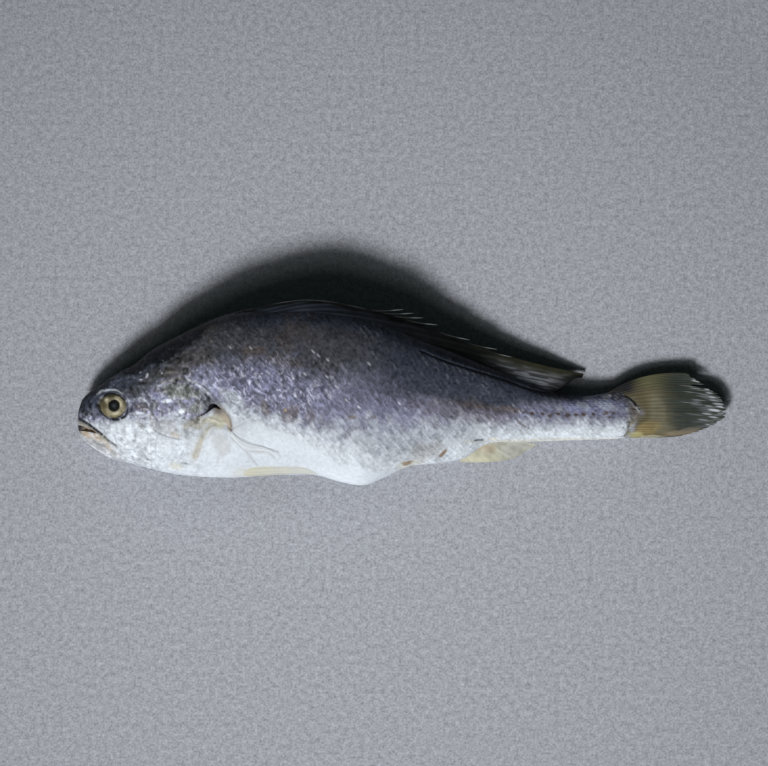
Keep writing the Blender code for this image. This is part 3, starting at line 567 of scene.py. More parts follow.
# The eye's grey-blue top layer paints a highlight in the middle of the pupil
EYE_LAYERS = (
    ("cream", (0.640, 0.590, 0.420, 1.0)), ("olive", (0.085, 0.072, 0.034, 1.0)),
    ("ink", (0.003, 0.004, 0.005, 1.0)), ("pupil_glint", (0.130, 0.160, 0.185, 1.0)),
)

# Finishes: name, ground colour, layers, roughness, grain and depth of bump in millimetres, specular level
FINISHES = (
    ("moist_skin", FLANK, SKIN_LAYERS, 0.44, 0.35, 0.04, 0.1),
    ("fin_skin", UMBER, FIN_LAYERS, 0.45, 0.3, 0.03, 0.1),
    ("wet_eye", IRIS, EYE_LAYERS, 0.38, 0.25, 0.005, 0.12),
)

# Patches of colour on the fins and the eyes, given as those of the skin are
TAIL_PATCHES = {
    "olive": ((246, 15, 8.5, 3.4, -5, 0.9),),
    "umber": ((243.4, 6, 2.6, 7.6, 10, 0.8),),
    "khaki": ((249, 2.6, 4.2, 9, 8, 0.8), (252.5, -6, 5, 3, 5, 0.7)),
    "ochre": ((244, -6, 6.4, 2.8, 8, 0.7),),
    "straw": ((239.6, -8.4, 3.4, 1.6, 8, 0.5),),
    "yellow": ((247, -9.6, 6, 0.9, 2, 0.55),),
    "tan": ((260, -7.2, 9, 1.4, 9, 0.35),),
}
ANAL_PATCHES = {
    "silt": ((190, -15, 14, 6, 0, 0.9),),
    "yellow": ((172, -16, 10, 5, 0, 0.75),),
    "tan": ((174.5, -14, 4.5, 1.8, -10, 0.55),),
    "straw": ((173.5, -19, 11.5, 1.8, 3, 0.6),),
}
EYE_PATCHES = {
    "cream": ((18.6, 5.9, 2.6, 1.6, -55, 1), (12.9, 6.2, 1.3, 0.7, 55, 0.8), (17, 0.6, 2.2, 0.6, 10, 0.3)),
    "olive": (
        (10.2, 5.2, 2.6, 4.6, 12, 0.9), (14.6, 9, 4.2, 1.5, 8, 0.85), (11.8, 1.2, 2.6, 1.1, -45, 0.75),
        (16, -1, 4.6, 1, 0, 0.6), (20.8, 7.2, 1, 2.4, 40, 0.45),
    ),
    # Painted shadow of the upper lid across the eye
    "ink": ((17.6, 9.4, 3, 0.7, -15, 0.9),),
}

# Painted highlights on the pale ends of the tail's rays: (x, y, half length, half width, strength), and how
# steeply they fall
RAY_END_GLINTS = (
    (266.4, 14.5, 2.4, 0.4, 0.55), (268.6, 12.6, 2.2, 0.4, 0.5), (270.4, 11, 1.2, 0.3, 0.43),
    (271.4, 9.4, 1.5, 0.35, 0.52), (272.6, 7.6, 1.8, 0.3, 0.47), (273.4, 6.2, 2.2, 0.25, 0.43),
    (275.2, 4.7, 2.2, 0.4, 0.65), (276.6, 3.4, 2.4, 0.35, 0.65), (273.6, 2, 2.8, 0.5, 0.65),
    (271.2, 3.8, 1.8, 0.25, 0.34), (270.4, 0.4, 2.2, 0.35, 0.39), (273.2, -1, 2, 0.3, 0.43),
    (276.4, 0.7, 1.5, 0.25, 0.34), (269, -2.2, 2.2, 0.4, 0.26), (270.8, -4.2, 1.2, 0.25, 0.34),
    (266.8, 6.4, 3.2, 0.2, 0.21), (264.4, 9.6, 3.8, 0.18, 0.19), (266.4, 4.6, 3.2, 0.18, 0.19),
    (268.2, 9, 2.5, 0.18, 0.26), (263, 5.2, 3.8, 0.16, 0.17), (262, 12.4, 3.8, 0.16, 0.17),
    (268.8, 1.8, 2.2, 0.2, 0.12), (265, 0.2, 3.8, 0.2, 0.17), (265.4, 11.4, 2.2, 0.2, 0.21),
)
RAY_FALL = 0.12


# Curves and fields

def smooth(keys, x):
    """A cubic through the keys over the square root of x, so that the profiles are round at the snout."""
    keys = np.array(keys, dtype=float)
    knots = np.sqrt(keys[:, 0])
    steps = np.diff(knots)
    rises = np.diff(keys[:, 1]) / steps
    inner = (rises[:-1] * steps[1:] + rises[1:] * steps[:-1]) / (steps[:-1] + steps[1:])
    slopes = np.concatenate((rises[:1], inner, rises[-1:]))
    at = np.sqrt(np.clip(x, keys[0, 0], keys[-1, 0]))
    i = np.clip(np.searchsorted(knots, at, side="right") - 1, 0, len(steps) - 1)
    t = (at - knots[i]) / steps[i]
    start = keys[i, 1] * (1 + 2 * t) * (1 - t) ** 2 + slopes[i] * steps[i] * t * (1 - t) ** 2
    end = keys[i + 1, 1] * (3 - 2 * t) * t**2 - slopes[i + 1] * steps[i] * (1 - t) * t**2
    return start + end


def level(keys, x):
    """Straight lines through the keys (x, value)."""
    return np.interp(x, *np.array(keys, dtype=float).T)


def along(points, count):
    """Points at even parameter steps on a Catmull-Rom curve through the given points."""
    points = np.array(points, dtype=float)
    ends = np.concatenate((2 * points[:1] - points[1:2], points, 2 * points[-1:] - points[-2:-1]))
    at = np.linspace(0, len(points) - 1, count)
    i = np.minimum(at.astype(int), len(points) - 2)
    t = (at - i)[:, None]
    a, b, c, d = ends[i], ends[i + 1], ends[i + 2], ends[i + 3]
    return b + 0.5 * t * (c - a + t * (2 * a - 5 * b + 4 * c - d + t * (3 * (b - c) + d - a)))


def blend(values, t):
    """Value at t, from 0 to 1, along evenly spaced values."""
    return np.interp(t, np.linspace(0, 1, len(values)), values)


def ease(value):
    """0 below 0, 1 above 1, with a smooth step between."""
    value = np.clip(value, 0, 1)
    return value * value * (3 - 2 * value)


def after(value, start, width):
    """0 up to the start, easing to 1 over the width that follows."""
    return ease((value - start) / width)


def before(value, end, width):
    """1 up to the last width before the end, easing to 0 at the end."""
    return ease((end - value) / width)


def between(pair, t):
    """Value at t, from 0 to 1, on the straight line from the first of a pair to the second."""
    return pair[0] + (pair[1] - pair[0]) * t


def ellipse_gap(dx, dy, length, height, turn=0.0):
    """Distance from the middle of a turned ellipse as a share of its size that way, so 1 on its edge."""
    cosine, sine = np.cos(np.radians(turn)), np.sin(np.radians(turn))
    return np.hypot((dx * cosine + dy * sine) / length, (dy * cosine - dx * sine) / height)


def inside(outline, x, y):
    """True where (x, y) is inside the closed outline, by counting the sides to its right."""
    odd = np.zeros(np.broadcast(x, y).shape, dtype=bool)
    for (x0, y0), (x1, y1) in zip(outline, outline[1:] + outline[:1]):
        if y0 != y1:
            crosses = (y0 > y) != (y1 > y)
            odd ^= crosses & (x < x0 + (y - y0) * (x1 - x0) / (y1 - y0))
    return odd


def distance(line, x, y, reach=8.0):
    """Distance from (x, y) to an open line, and the nearest point's place along it from 0 to 1.

    Points further from the line's box than the reach keep an infinite distance.
    """
    line = np.array(line, dtype=float)
    nearest, place = np.full(x.shape, np.inf), np.zeros(x.shape)
    low, high = line.min(axis=0) - reach, line.max(axis=0) + reach
    near = (x > low[0]) & (x < high[0]) & (y > low[1]) & (y < high[1])
    px, py = x[near], y[near]
    best, where = np.full(px.shape, np.inf), np.zeros(px.shape)
    lengths = np.hypot(*np.diff(line, axis=0).T)
    starts = np.concatenate(((0,), np.cumsum(lengths)))
    for (x0, y0), (x1, y1), length, start in zip(line, line[1:], lengths, starts):
        t = np.clip(((px - x0) * (x1 - x0) + (py - y0) * (y1 - y0)) / length**2, 0, 1)
        gap = np.hypot(px - x0 - t * (x1 - x0), py - y0 - t * (y1 - y0))
        closer = gap < best
        best = np.where(closer, gap, best)
        where = np.where(closer, (start + t * length) / starts[-1], where)
    nearest[near], place[near] = best, where
    return nearest, place


NOISE_SIDE = 64
NOISE_TABLE = np.random.default_rng(7).random((NOISE_SIDE, NOISE_SIDE, NOISE_SIDE))


def noise(points, size, seed):
    """Random values on a cubic lattice of the given size, joined by smooth steps, from 0 to 1."""
    at = points / size + seed * np.array((11.3, 23.7, 5.1))
    cell = np.floor(at).astype(int)
    t = at - cell
    t = t * t * (3 - 2 * t)
    total = 0.0
    for corner in itertools.product((0, 1), repeat=3):
        weight = np.prod(np.where(corner, t, 1 - t), axis=-1)
        i, j, k = np.moveaxis((cell + corner) % NOISE_SIDE, -1, 0)
        total = total + weight * NOISE_TABLE[i, j, k]
    return total


def cloud(points, size, octaves, seed):
    """Octaves of noise, each of half the size and half the weight of the one before, round 0.5."""
    total, weight = 0.0, 0.0
    for octave in range(octaves):
        share = 0.5**octave
        total = total + share * (noise(points, size * share, seed + octave) - 0.5)
        weight += share
    return 0.5 + 1.4 * total / weight


def crumple(points, size, octaves, seed):
    """Folded noise: sharp creases where the noise crosses its middle, 0 in a crease and 1 between."""
    total, weight = 0.0, 0.0
    for octave in range(octaves):
        share = 0.5**octave
        total = total + share * np.minimum(1, 5 * np.abs(noise(points, size * share, seed + octave) - 0.5))
        weight += share
    return total / weight


class Masks(dict):
    """How strongly each layer of a finish shows at each point, from 0 to 1."""

    def __init__(self, layers, shape):
        super().__init__((layer, np.zeros(shape)) for layer, _ in layers)

    def show(self, layer, weight):
        """Raises a layer to at least the weight."""
        self[layer] = np.maximum(self[layer], weight)

    def add_patches(self, patches, x, y, spread):
        """Shows the soft ellipses of each layer's patches. The spread roughens the ellipses' edges."""
        end, width, noisy = PATCH_EDGE
        for layer, ellipses in patches.items():
            for x0, y0, length, height, turn, strength in ellipses:
                reach = PATCH_REACH * max(length, height)
                near = (np.abs(x - x0) < reach) & (np.abs(y - y0) < reach)
                gap = ellipse_gap(x[near] - x0, y[near] - y0, length, height, turn)
                weight = strength * ease((end - gap - noisy * (spread[near] - 0.5)) / width)
                self[layer][near] = np.maximum(self[layer][near], weight)


# Meshes

LOW_CORNER = np.array(CAD_BOX[0]) / MM
SHIFT = LOW_CORNER - (0, smooth(BELLY, np.linspace(0, BODY_LENGTH, 4001)).min(), 0)


def place(points):
    """Moves points from the fish's own directions, in millimetres, to the frame, in metres."""
    return (points + SHIFT) * MM


def new_mesh(name, points, faces, triangles, masks, finish, normals=None):
    """A piece from points, faces of four corners, triangles, and a float attribute for each mask."""
    mesh = bpy.data.meshes.new(name)
    corners = np.concatenate((faces.reshape(-1), triangles.reshape(-1))).astype(np.int32)
    sizes = np.concatenate((np.full(len(faces), 4), np.full(len(triangles), 3)))
    starts = np.concatenate(((0,), np.cumsum(sizes)[:-1])).astype(np.int32)
    mesh.vertices.add(len(points))
    mesh.vertices.foreach_set("co", place(points).astype(np.float32).ravel())
    mesh.loops.add(len(corners))
    mesh.loops.foreach_set("vertex_index", corners)
    mesh.polygons.add(len(starts))
    mesh.polygons.foreach_set("loop_start", starts)
    mesh.update(calc_edges=True)
    mesh.validate()
    mesh.shade_smooth()
    for mask, values in masks.items():
        attribute = mesh.attributes.new(mask, "FLOAT", "POINT")
        attribute.data.foreach_set("value", np.asarray(values, dtype=np.float32).ravel())
    if normals is not None:
        mesh.normals_split_custom_set_from_vertices(normals.astype(np.float32))
    mesh.materials.append(finish)
    piece = bpy.data.objects.new(name, mesh)
    bpy.context.scene.collection.objects.link(piece)
    return piece


def grid_faces(rows, columns, wrap=False):
    """Corner numbers of the faces between neighbours in a grid, closed round its columns on wrap."""
    i, j = np.meshgrid(np.arange(rows - 1), np.arange(columns if wrap else columns - 1), indexing="ij")
    following = (j + 1) % columns
    here, there = i * columns, (i + 1) * columns
    return np.stack((here + j, here + following, there + following, there + j), axis=-1).reshape(-1, 4)


def tube_faces(rings, around, first=0):
    """Faces of a grid of rings whose ends are closed by fans to the two points that follow the grid."""
    count = rings * around
    start = np.arange(around)
    end = start + count - around
    fans = np.concatenate((
        np.stack((start, np.full(around, count), np.roll(start, -1)), axis=-1),
        np.stack((end, np.roll(end, -1), np.full(around, count + 1)), axis=-1),
    ))
    return grid_faces(rings, around, wrap=True) + first, fans + first


def two_sides(flat, middle, half):
    """Upper and lower grid of a plate from its plan, the height of its middle and half its thickness."""
    return [np.concatenate((flat, height[..., None]), axis=2) for height in (middle + half, middle - half)]


def wear(piece, node):
    """Ties a finished piece to the body and hides the solid it stands for."""
    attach(piece, "root")
    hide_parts(node)


def plate(name, upper, lower, masks, finish):
    """A closed plate between two grids of points. The masks, given for the upper grid, serve both."""
    rows, columns = upper.shape[:2]
    offset = rows * columns
    top = grid_faces(rows, columns)
    faces = [top[:, ::-1], top + offset]
    rim = np.concatenate((
        np.arange(columns), np.arange(1, rows) * columns + columns - 1,
        (rows - 1) * columns + np.arange(columns - 2, -1, -1), np.arange(rows - 2, 0, -1) * columns,
    ))
    following = np.roll(rim, -1)
    faces.append(np.stack((rim, following, following + offset, rim + offset), axis=-1))
    faces = np.concatenate(faces)
    points = np.concatenate((upper.reshape(-1, 3), lower.reshape(-1, 3)))
    a, b, c = (points[top[:, k]] for k in (0, 1, 3))
    if np.cross(b - a, c - a)[:, 2].sum() > 0:
        faces = faces[:, ::-1]
    both = {mask: np.concatenate((values.ravel(), values.ravel())) for mask, values in masks.items()}
    return new_mesh(name, points, faces, np.zeros((0, 3), dtype=int), both, finish)


# Skin

def cover_relief(x, y):
    """How far the gill cover stands out and the membrane behind it sinks in, at (x, y) of either side."""
    cover = inside(COVER_EDGE + COVER_FRONT, x, y)
    grown = after(x, COVER_FADE[0], COVER_FADE[1] - COVER_FADE[0]) * after(y, COVER_FOOT, COVER_BLEND)
    gap, where = distance(COVER_EDGE, x, y, 9.0)
    step = ease(gap / level(COVER_SOFTNESS, where))
    hollow = inside(MEMBRANE, x, y)
    gap, where = distance(SHOULDER_EDGE + BREAST_EDGE, x, y)
    rim = ease(gap / level(RIM_SOFTNESS, where))
    return COVER_LIFT * cover * grown * step - MEMBRANE_DROP * hollow * step * rim


def section(x, angle, lift=0.0):
    """Point of the body at a distance from the snout and an angle round it, 0 at the back's ridge.

    The section is half its height times the cosine by half its width times a power of the sine. It
    leans by the roll, and the lift is added along the section's own normal.
    """
    x, angle = np.broadcast_arrays(np.asarray(x, dtype=float), angle)
    back, belly = smooth(BACK, x), smooth(BELLY, x)
    width = smooth(HALF_WIDTH, x)
    middle, height = (back + belly) / 2, (back - belly) / 2
    cosine, sine = np.cos(angle), np.sin(angle)
    fullness = BELLY_FULLNESS + (BACK_FULLNESS - BELLY_FULLNESS) * ease((cosine + 1) / 2)
    y = middle + height * cosine
    z = smooth(MID_HEIGHT, x) + width * np.sign(sine) * np.abs(sine) ** fullness + ROLL * height * cosine
    out_y, out_z = cosine * np.maximum(width, 0.1), sine * np.maximum(height, 0.1)
    size = np.hypot(out_y, out_z)
    stalk = after(x, STALK_TAPER_START, BODY_LENGTH - STALK_TAPER_START)
    x = x + stalk * (STALK_BULGE * sine**2 + STALK_SLANT * (1 - cosine))
    return np.stack((x, y + lift * out_y / size, z + lift * out_z / size), axis=-1)


def on_flank(x, y, side, lift=0.0):
    """Point of the skin over (x, y), on the left side for side 1 and on the right for side -1."""
    back, belly = smooth(BACK, x), smooth(BELLY, x)
    cosine = np.clip((2 * y - back - belly) / (back - belly), -1, 1)
    return section(x, side * np.arccos(cosine), lift + cover_relief(*np.broadcast_arrays(x, y)))


def even_angles(stations):
    """Angles round each ring at even steps of length, with fewer points on the hidden underside."""
    dense = np.linspace(0, 2 * np.pi, DENSE_POINTS)
    rings = section(np.maximum(stations, NOSE_REACH / NOSE_RINGS**2)[:, None], dense[None, :])
    steps = np.linalg.norm(np.diff(rings[..., 1:], axis=1), axis=-1)
    hidden = before(np.sin((dense[1:] + dense[:-1]) / 2), -0.1, 0.6)
    steps = steps * (1 - (1 - UNDERSIDE_SHARE) * hidden)
    length = np.concatenate((np.zeros((len(stations), 1)), np.cumsum(steps, axis=1)), axis=1)
    rows = np.arange(len(stations))[:, None]
    known = rows + length / length[:, -1:]
    wanted = rows + (np.arange(RING_POINTS) + 0.5) / RING_POINTS
    angles = np.interp(wanted.ravel(), known.ravel(), np.broadcast_to(dense, known.shape).ravel())
    return angles.reshape(wanted.shape)


def ring_normals(points):
    """Outward directions of a grid of rings, from the differences between neighbours."""
    around = np.roll(points, -1, axis=1) - np.roll(points, 1, axis=1)
    normals = np.cross(around, np.gradient(points, axis=0))
    normals[0] = (-1, 0, 0)
    return normals / np.maximum(np.linalg.norm(normals, axis=-1, keepdims=True), 1e-9)


def scale_pattern(x, girth, side):
    """Overlapping scales: place from root to rim and across, and each scale's random tone and lean.

    Scales are ellipses on a lattice of staggered rows. Where several cover a point, the one nearest to
    the head shows.
    """
    dense = np.linspace(0, SCALE_SPAN, round(SCALE_SPAN / SCALE_STEP) + 1)
    passed = np.concatenate(((0,), np.cumsum(SCALE_STEP / level(SCALE_PITCH, dense[1:]))))
    u = np.interp(x, dense, passed)
    v = girth / level(SCALE_ROWS, x) + SCALE_SIDE_SHIFT * side
    row, column = np.floor(v), np.floor(u)
    front = np.full(x.shape, np.inf)
    rim, across, tone, lean = (np.zeros(x.shape) for _ in range(4))
    for i, j in itertools.product((-2, -1, 0, 1), (-1, 0, 1, 2)):
        scale_row, scale_column = row + j, column + i
        index = scale_row.astype(int) % NOISE_SIDE, scale_column.astype(int) % NOISE_SIDE
        forth, aside, own_tone, own_lean = (NOISE_TABLE[(*index, draw)] for draw in SCALE_DRAWS)
        centre_u = scale_column + 0.5 * (scale_row % 2) + SCALE_JITTER[0] * (forth - 0.5)
        centre_v = scale_row + SCALE_JITTER[1] * (aside - 0.5)
        du, dv = (u - centre_u) / SCALE_REACH[0], (v - centre_v) / SCALE_REACH[1]
        gap = np.hypot(du, dv)
        shows = (gap < 1) & (centre_u < front)
        front = np.where(shows, centre_u, front)
        rim, across = np.where(shows, gap * np.sign(du + 0.2), rim), np.where(shows, dv, across)
        tone, lean = np.where(shows, own_tone, tone), np.where(shows, own_lean, lean)
    return rim, across, tone, lean


class Skin:
    """The skin from the snout to the end of the stalk: a grid of rings, its relief and its colour masks."""

    def __init__(self):
        stations = [NOSE_REACH * (np.arange(NOSE_RINGS) / NOSE_RINGS) ** 2]
        stations += [np.linspace(start, end, rings, endpoint=False) for _, start, end, rings in SKIN_PIECES]
        stations = np.concatenate(stations + [(BODY_LENGTH,)])
        angles = even_angles(stations)
        bare = section(stations[:, None], angles)
        self.flat_x = np.broadcast_to(stations[:, None], angles.shape)
        self.y = bare[..., 1]
        self.points = section(stations[:, None], angles, cover_relief(self.flat_x, self.y))
        self.outward = ring_normals(bare)
        self.x = self.points[..., 0]
        self.side = np.where(np.sin(angles) >= 0, 0, 1)
        self.mirrored = bare.copy()
        self.mirrored[..., 2] = np.abs(bare[..., 2] - smooth(MID_HEIGHT, self.flat_x))
        self.mirrored[..., 2] += NOISE_SIDE_SHIFT * self.side
        self.girth = self.girths(bare, angles)
        self.relief = np.zeros(self.x.shape)
        self.masks = Masks(SKIN_LAYERS, self.x.shape)
        self.rough = cloud(self.mirrored, *ROUGH)
        self.broad = cloud(self.mirrored, *BROAD)
        self.fine = cloud(self.mirrored, *FINE)
        self.wobble = WANDER * (cloud(self.mirrored, *WOBBLE) - 0.5)
        self.streak = cloud(self.stretched(*STREAK_SIZE), *STREAKS)
        self.thread = before(crumple(self.stretched(*THREAD_SIZE), *THREADS), 0.62, 0.4)

    def girths(self, bare, angles):
        """Length round each ring from the side line, less towards the back and more towards the belly."""
        run = np.cumsum(np.linalg.norm(np.diff(bare, axis=1), axis=-1), axis=1)
        run = np.concatenate((np.zeros((len(bare), 1)), run), axis=1)
        total = run[:, -1:] + np.linalg.norm(bare[:, :1] - bare[:, -1:], axis=-1)
        top, bottom = smooth(BACK, self.flat_x), smooth(BELLY, self.flat_x)
        cosine = (2 * level(SIDE_LINE, self.flat_x) - top - bottom) / (top - bottom)
        off = np.abs(angles - np.arccos(np.clip(cosine, -1, 1)))
        nearest = np.argmin(np.where(self.side == 0, off, np.inf), axis=1)
        return np.minimum(run, total - run) - np.take_along_axis(run, nearest[:, None], axis=1)

    def stretched(self, length, width):
        """Coordinates drawn out along lines that fall towards the tail, bent by the wobble."""
        run = self.x * STREAK_TURN[0] + self.girth * STREAK_TURN[1]
        off = self.girth * STREAK_TURN[0] - self.x * STREAK_TURN[1] + self.wobble
        return np.stack((run / length, off / width, STREAK_SIDE_SHIFT * self.side), axis=-1)

    def ground_tones(self):
        """White belly, lavender flank and dark back, parted by rough borders, and the blue of the back."""
        x, y, masks = self.x, self.y, self.masks
        flank = after(x, 55, 12)
        drift = 0.6 * (self.rough - 0.5) + 0.45 * (self.broad - 0.5) + 0.5 * flank * (self.streak - 0.5)
        drift = drift * (1 - 0.35 * after(x, 90, 20))
        masks["milk"] = ease((level(MILK_LINE, x) - y) / level(MILK_BLEND, x) + 0.5 + drift)
        masks["slate"] = ease((y - level(SLATE_LINE, x)) / level(SLATE_BLEND, x) + 0.5 - drift)
        mottled = after(x, 200, 12) * after(y, 0.5, 2) * after(self.rough, 0.52, 0.1)
        masks.show("milk", 0.4 * mottled * (1 - 0.7 * masks["slate"]))
        to_ridge = smooth(BACK, x) - y
        over = np.maximum(after(x, 66, 14), before(x, 46, 12))
        blue = np.maximum(after(x, 118, 26), before(to_ridge, 11, 5) * over)
        masks["navy"] = masks["slate"] * blue
        joint = x - level(TAIL_JOINT, y) + 6.0 * (self.rough - 0.5)
        masks.show("khaki", 0.9 * after(joint, -6, 7) * after(y, -8, 4))
        self.relief -= STALK_STEP * after(joint, -3.5, 5)
        masks["milk"] *= 1 - 0.9 * after(joint, -2.5, 3) * after(y, -10, 3)
        self.white = ease((level(WHITE_LINE, x) - y + 3 * (self.broad - 0.5)) / 3)
        tones = 0.20 * (self.broad - 0.5) + 0.22 * (self.fine - 0.5) + 0.10 * self.white
        masks["tone"] = 0.5 + tones * (1 - 0.35 * self.white)

    def marks(self):
        """The soft ellipses of PATCHES and SHADES, the soft lines of STROKES, and the side line's spots."""
        x, y, masks = self.x, self.y, self.masks
        masks.add_patches(PATCHES, x, y, self.rough)
        for x0, y0, length, height, turn, change in SHADES:
            gap = ellipse_gap(x - x0, y - y0, length, height, turn)
            masks["tone"] += change * np.exp(-(gap**2))
        for layer, start, end, strength, raised, points in STROKES:
            gap, where = distance(along(points, 8 * len(points)), x, y, 3 * max(start, end))
            taper = ease(where / 0.12 + 0.35) * ease((1 - where) / 0.12 + 0.35)
            weight = np.exp(-((gap / between((start, end), where)) ** 2)) * taper
            masks.show(layer, strength * weight * (0.7 + 0.6 * self.fine))
            self.relief += raised * weight
        for x0, y0, size in LINE_SPOTS:
            gap = ellipse_gap(x - x0, y - y0, 1.2 * size, 0.85 * size)
            masks.show("brown", 0.9 * ease(1.35 - gap + 0.5 * (self.rough - 0.5)))
            masks.show("ink", 0.6 * ease(1.0 - gap))
            self.relief -= 0.1 * ease(1.2 - gap)

    def scales(self):
        """Overlapping scales as a faint relief and tone, and broken streaks across them, with painted light,
        shade and glints.
        """
        x, y, masks = self.x, self.y, self.masks
        hollow = inside(MEMBRANE, self.flat_x, y)
        scaled = after(x, 38, 24) * before(x, 243, 10) * (1 - hollow) * (1 - 0.9 * self.white)
        rim, across, tone, lean = scale_pattern(x, self.girth, self.side)
        scaled = scaled * (1 - 0.5 * masks["milk"])
        raised = ease(rim) - 0.5 + 0.6 * (lean - 0.5) * across
        self.relief += SCALE_RELIEF * scaled * (1 - 0.5 * masks["slate"]) * raised
        edge = after(rim, 0.55, 0.25) * before(rim, 1.02, 0.08) * before(across, 0.55, 0.7)
        gap = before(np.abs(rim), 0.4, 0.4)
        x0, y0, length, height = STREAK_PLACE
        strong = 0.36 + 0.64 * np.exp(-(((x - x0) / length) ** 2) - ((y - y0) / height) ** 2)
        dark = masks["slate"]
        thread = self.thread * (0.35 + 0.65 * strong)
        # The tone paints light on each scale's rim and shade in its middle, and the streaks and threads
        # paint light and shade on the scales' slopes
        own = (0.30 - 0.14 * dark) * (tone - 0.5) + (0.12 - 0.08 * dark) * (edge - gap)
        masks["tone"] += scaled * (own + 0.6 * strong * (self.streak - 0.5))
        drawn = 0.38 * scaled * strong * (self.thread - 0.45)
        masks["tone"] += drawn + 0.4 * scaled * dark * (self.fine - 0.5)
        earthy = after(cloud(self.mirrored, *EARTH), 0.5, 0.25) * before(x, 118, 30)
        masks.show("brown", 0.32 * scaled * dark * earthy)
        gloom = after(cloud(self.mirrored, *GLOOM), 0.47, 0.25)
        masks.show("slate", 0.5 * scaled * strong * (1 - self.thread) * gloom)
        # Painted highlights along the threads, and painted glints on the scales' rims
        masks.show("violet", 0.42 * scaled * thread * (1 - 0.35 * dark))
        glint = after(lean, 0.6, 0.3) * edge * after(noise(self.mirrored, *GLINT_PATCHES), 0.35, 0.4)
        patchy = after(noise(self.mirrored, *PEARL_PATCHES), 0.35, 0.4)
        masks.show("pearl", scaled * (0.30 * glint + 0.32 * thread * patchy * strong) * (1 - 0.66 * dark))
        self.relief += THREAD_RELIEF * scaled * strong * self.thread
        # Painted glints of single scales
        for x0, y0 in SCALE_GLINTS:
            shift, drop = x - x0, y - y0
            near = np.hypot((shift - drop) / 1.5, (shift + drop) / 0.6)
            masks.show("pearl", 0.5 * ease(1.4 - near))

    def head(self):
        """Wrinkled cheeks, and the coarse mottling of the dark skin of the head and nape, with painted
        glints.
        """
        x, masks = self.x, self.masks
        head = before(x, HEAD_END, 14)
        wrinkle = crumple(self.mirrored, *WRINKLES)
        folds = crumple(self.mirrored, *FOLDS)
        mottle = cloud(self.mirrored, *MOTTLES)
        cheek = after(masks["milk"], 0.2, 0.5)
        calm = 1 - 0.6 * cheek * after(x, 32, 8)
        bumps = 0.16 * (wrinkle - 0.6) + 0.16 * (mottle - 0.5) + 0.1 * (folds - 0.6)
        self.relief += head * after(x, 6, 8) * bumps
        lined = 0.26 * (wrinkle - 0.75) + 0.24 * (folds - 0.72)
        masks["tone"] += head * calm * (cheek * lined + (1.2 - 0.8 * cheek) * (mottle - 0.5))
        patchy = after(cloud(self.mirrored, *MOTTLE_PATCHES), 0.5, 0.2)
        masks.show("sage", 0.5 * head * (1 - cheek) * before(mottle, 0.5, 0.2) * after(x, 22, 12))
        masks.show("violet", 0.4 * head * (1 - cheek) * after(mottle, 0.52, 0.2) * patchy)
        ridged = 0.5 * head * (1 - cheek) * after(folds, 0.8, 0.1) * patchy * after(x, 22, 8)
        masks.show("grey", ridged * (1 - masks["slate"]))
        masks.show("slate", 0.3 * head * calm * cheek * before(folds, 0.36, 0.2) * patchy)
        depth = smooth(BACK, self.flat_x) - self.y + 2.4 * (mottle - 0.5) + 3 * (self.rough - 0.5)
        width = level(CREST_WIDTH, x)
        crest = before(depth, width, 0.4 * width + 1) * before(x, HEAD_END, 10)
        # Painted glints on the wet dark crest
        glints = after(cloud(self.mirrored, *GLINTS), 0.52, 0.12) * after(depth, 3, 3) * before(x, 48, 8)
        masks.show("slate", 0.95 * crest)
        masks.show("violet", 0.75 * crest * glints)
        masks["slate"] *= 1 - 0.7 * crest * glints
        masks["navy"] *= 1 - 0.6 * crest * glints
        masks.show("ink", crest * (0.86 - 0.72 * glints))
        # Pale speckles that stand for glints of the wet skin
        speckle = after(cloud(self.mirrored, *SPECKLES), 0.63, 0.12)
        masks.show("pearl", 0.26 * speckle * head * (1 - 0.75 * masks["slate"]))

    def openings(self):
        """The gap between the lips, the gill slit, and the sockets with their lids, with painted shade in
        each.
        """
        x, y, masks = self.x, self.y, self.masks
        mouth = inside(MOUTH_OUTLINE, x, y)
        gap = distance(along(MOUTH_OUTLINE[1:5], 24), x, y, 3)[0]
        deep = mouth * ease(gap / 0.5) * before(x, 9.5, 5) * after(x, 1.2, 2)
        self.relief -= MOUTH_DEPTH * deep
        masks.show("rust", 0.8 * mouth * before(x, 9, 2))
        # Painted shade in the mouth's hole
        masks.show("ink", 0.9 * mouth * ease(gap / 0.4) * before(x, 3.2, 1.2) * after(x, 0.2, 0.5))
        gap, where = distance(along(SLIT_LINE, 40), x, y, 4)
        slit = ease((level(SLIT_HALF_WIDTHS, where) - gap) / 0.45 + 0.5) * (gap < 3)
        self.relief -= SLIT_DEPTH * slit
        # Painted shade in the gill slit
        masks.show("ink", slit)
        gap = distance(EYE_OPENING + EYE_OPENING[:1], x, y, 6)[0]
        opening = inside(EYE_OPENING, x, y)
        corner = opening * before(x, 12.4, 2.0)
        self.relief -= SOCKET_DEPTH * opening * ease(gap / 0.45) * (1 - 0.75 * corner)
        self.relief += LID_LIFT * (1 - opening) * np.exp(-((gap / LID_WIDTH) ** 2))
        # Painted shadow in the gap between the lids and the eyeball
        masks.show("ink", 0.9 * opening * (1 - corner))
        for layer in ("ink", "pearl", "milk", "slate", "navy", "violet"):
            masks[layer] *= 1 - 0.8 * corner
        masks.show("khaki", corner)
        masks.show("ink", 0.3 * corner)

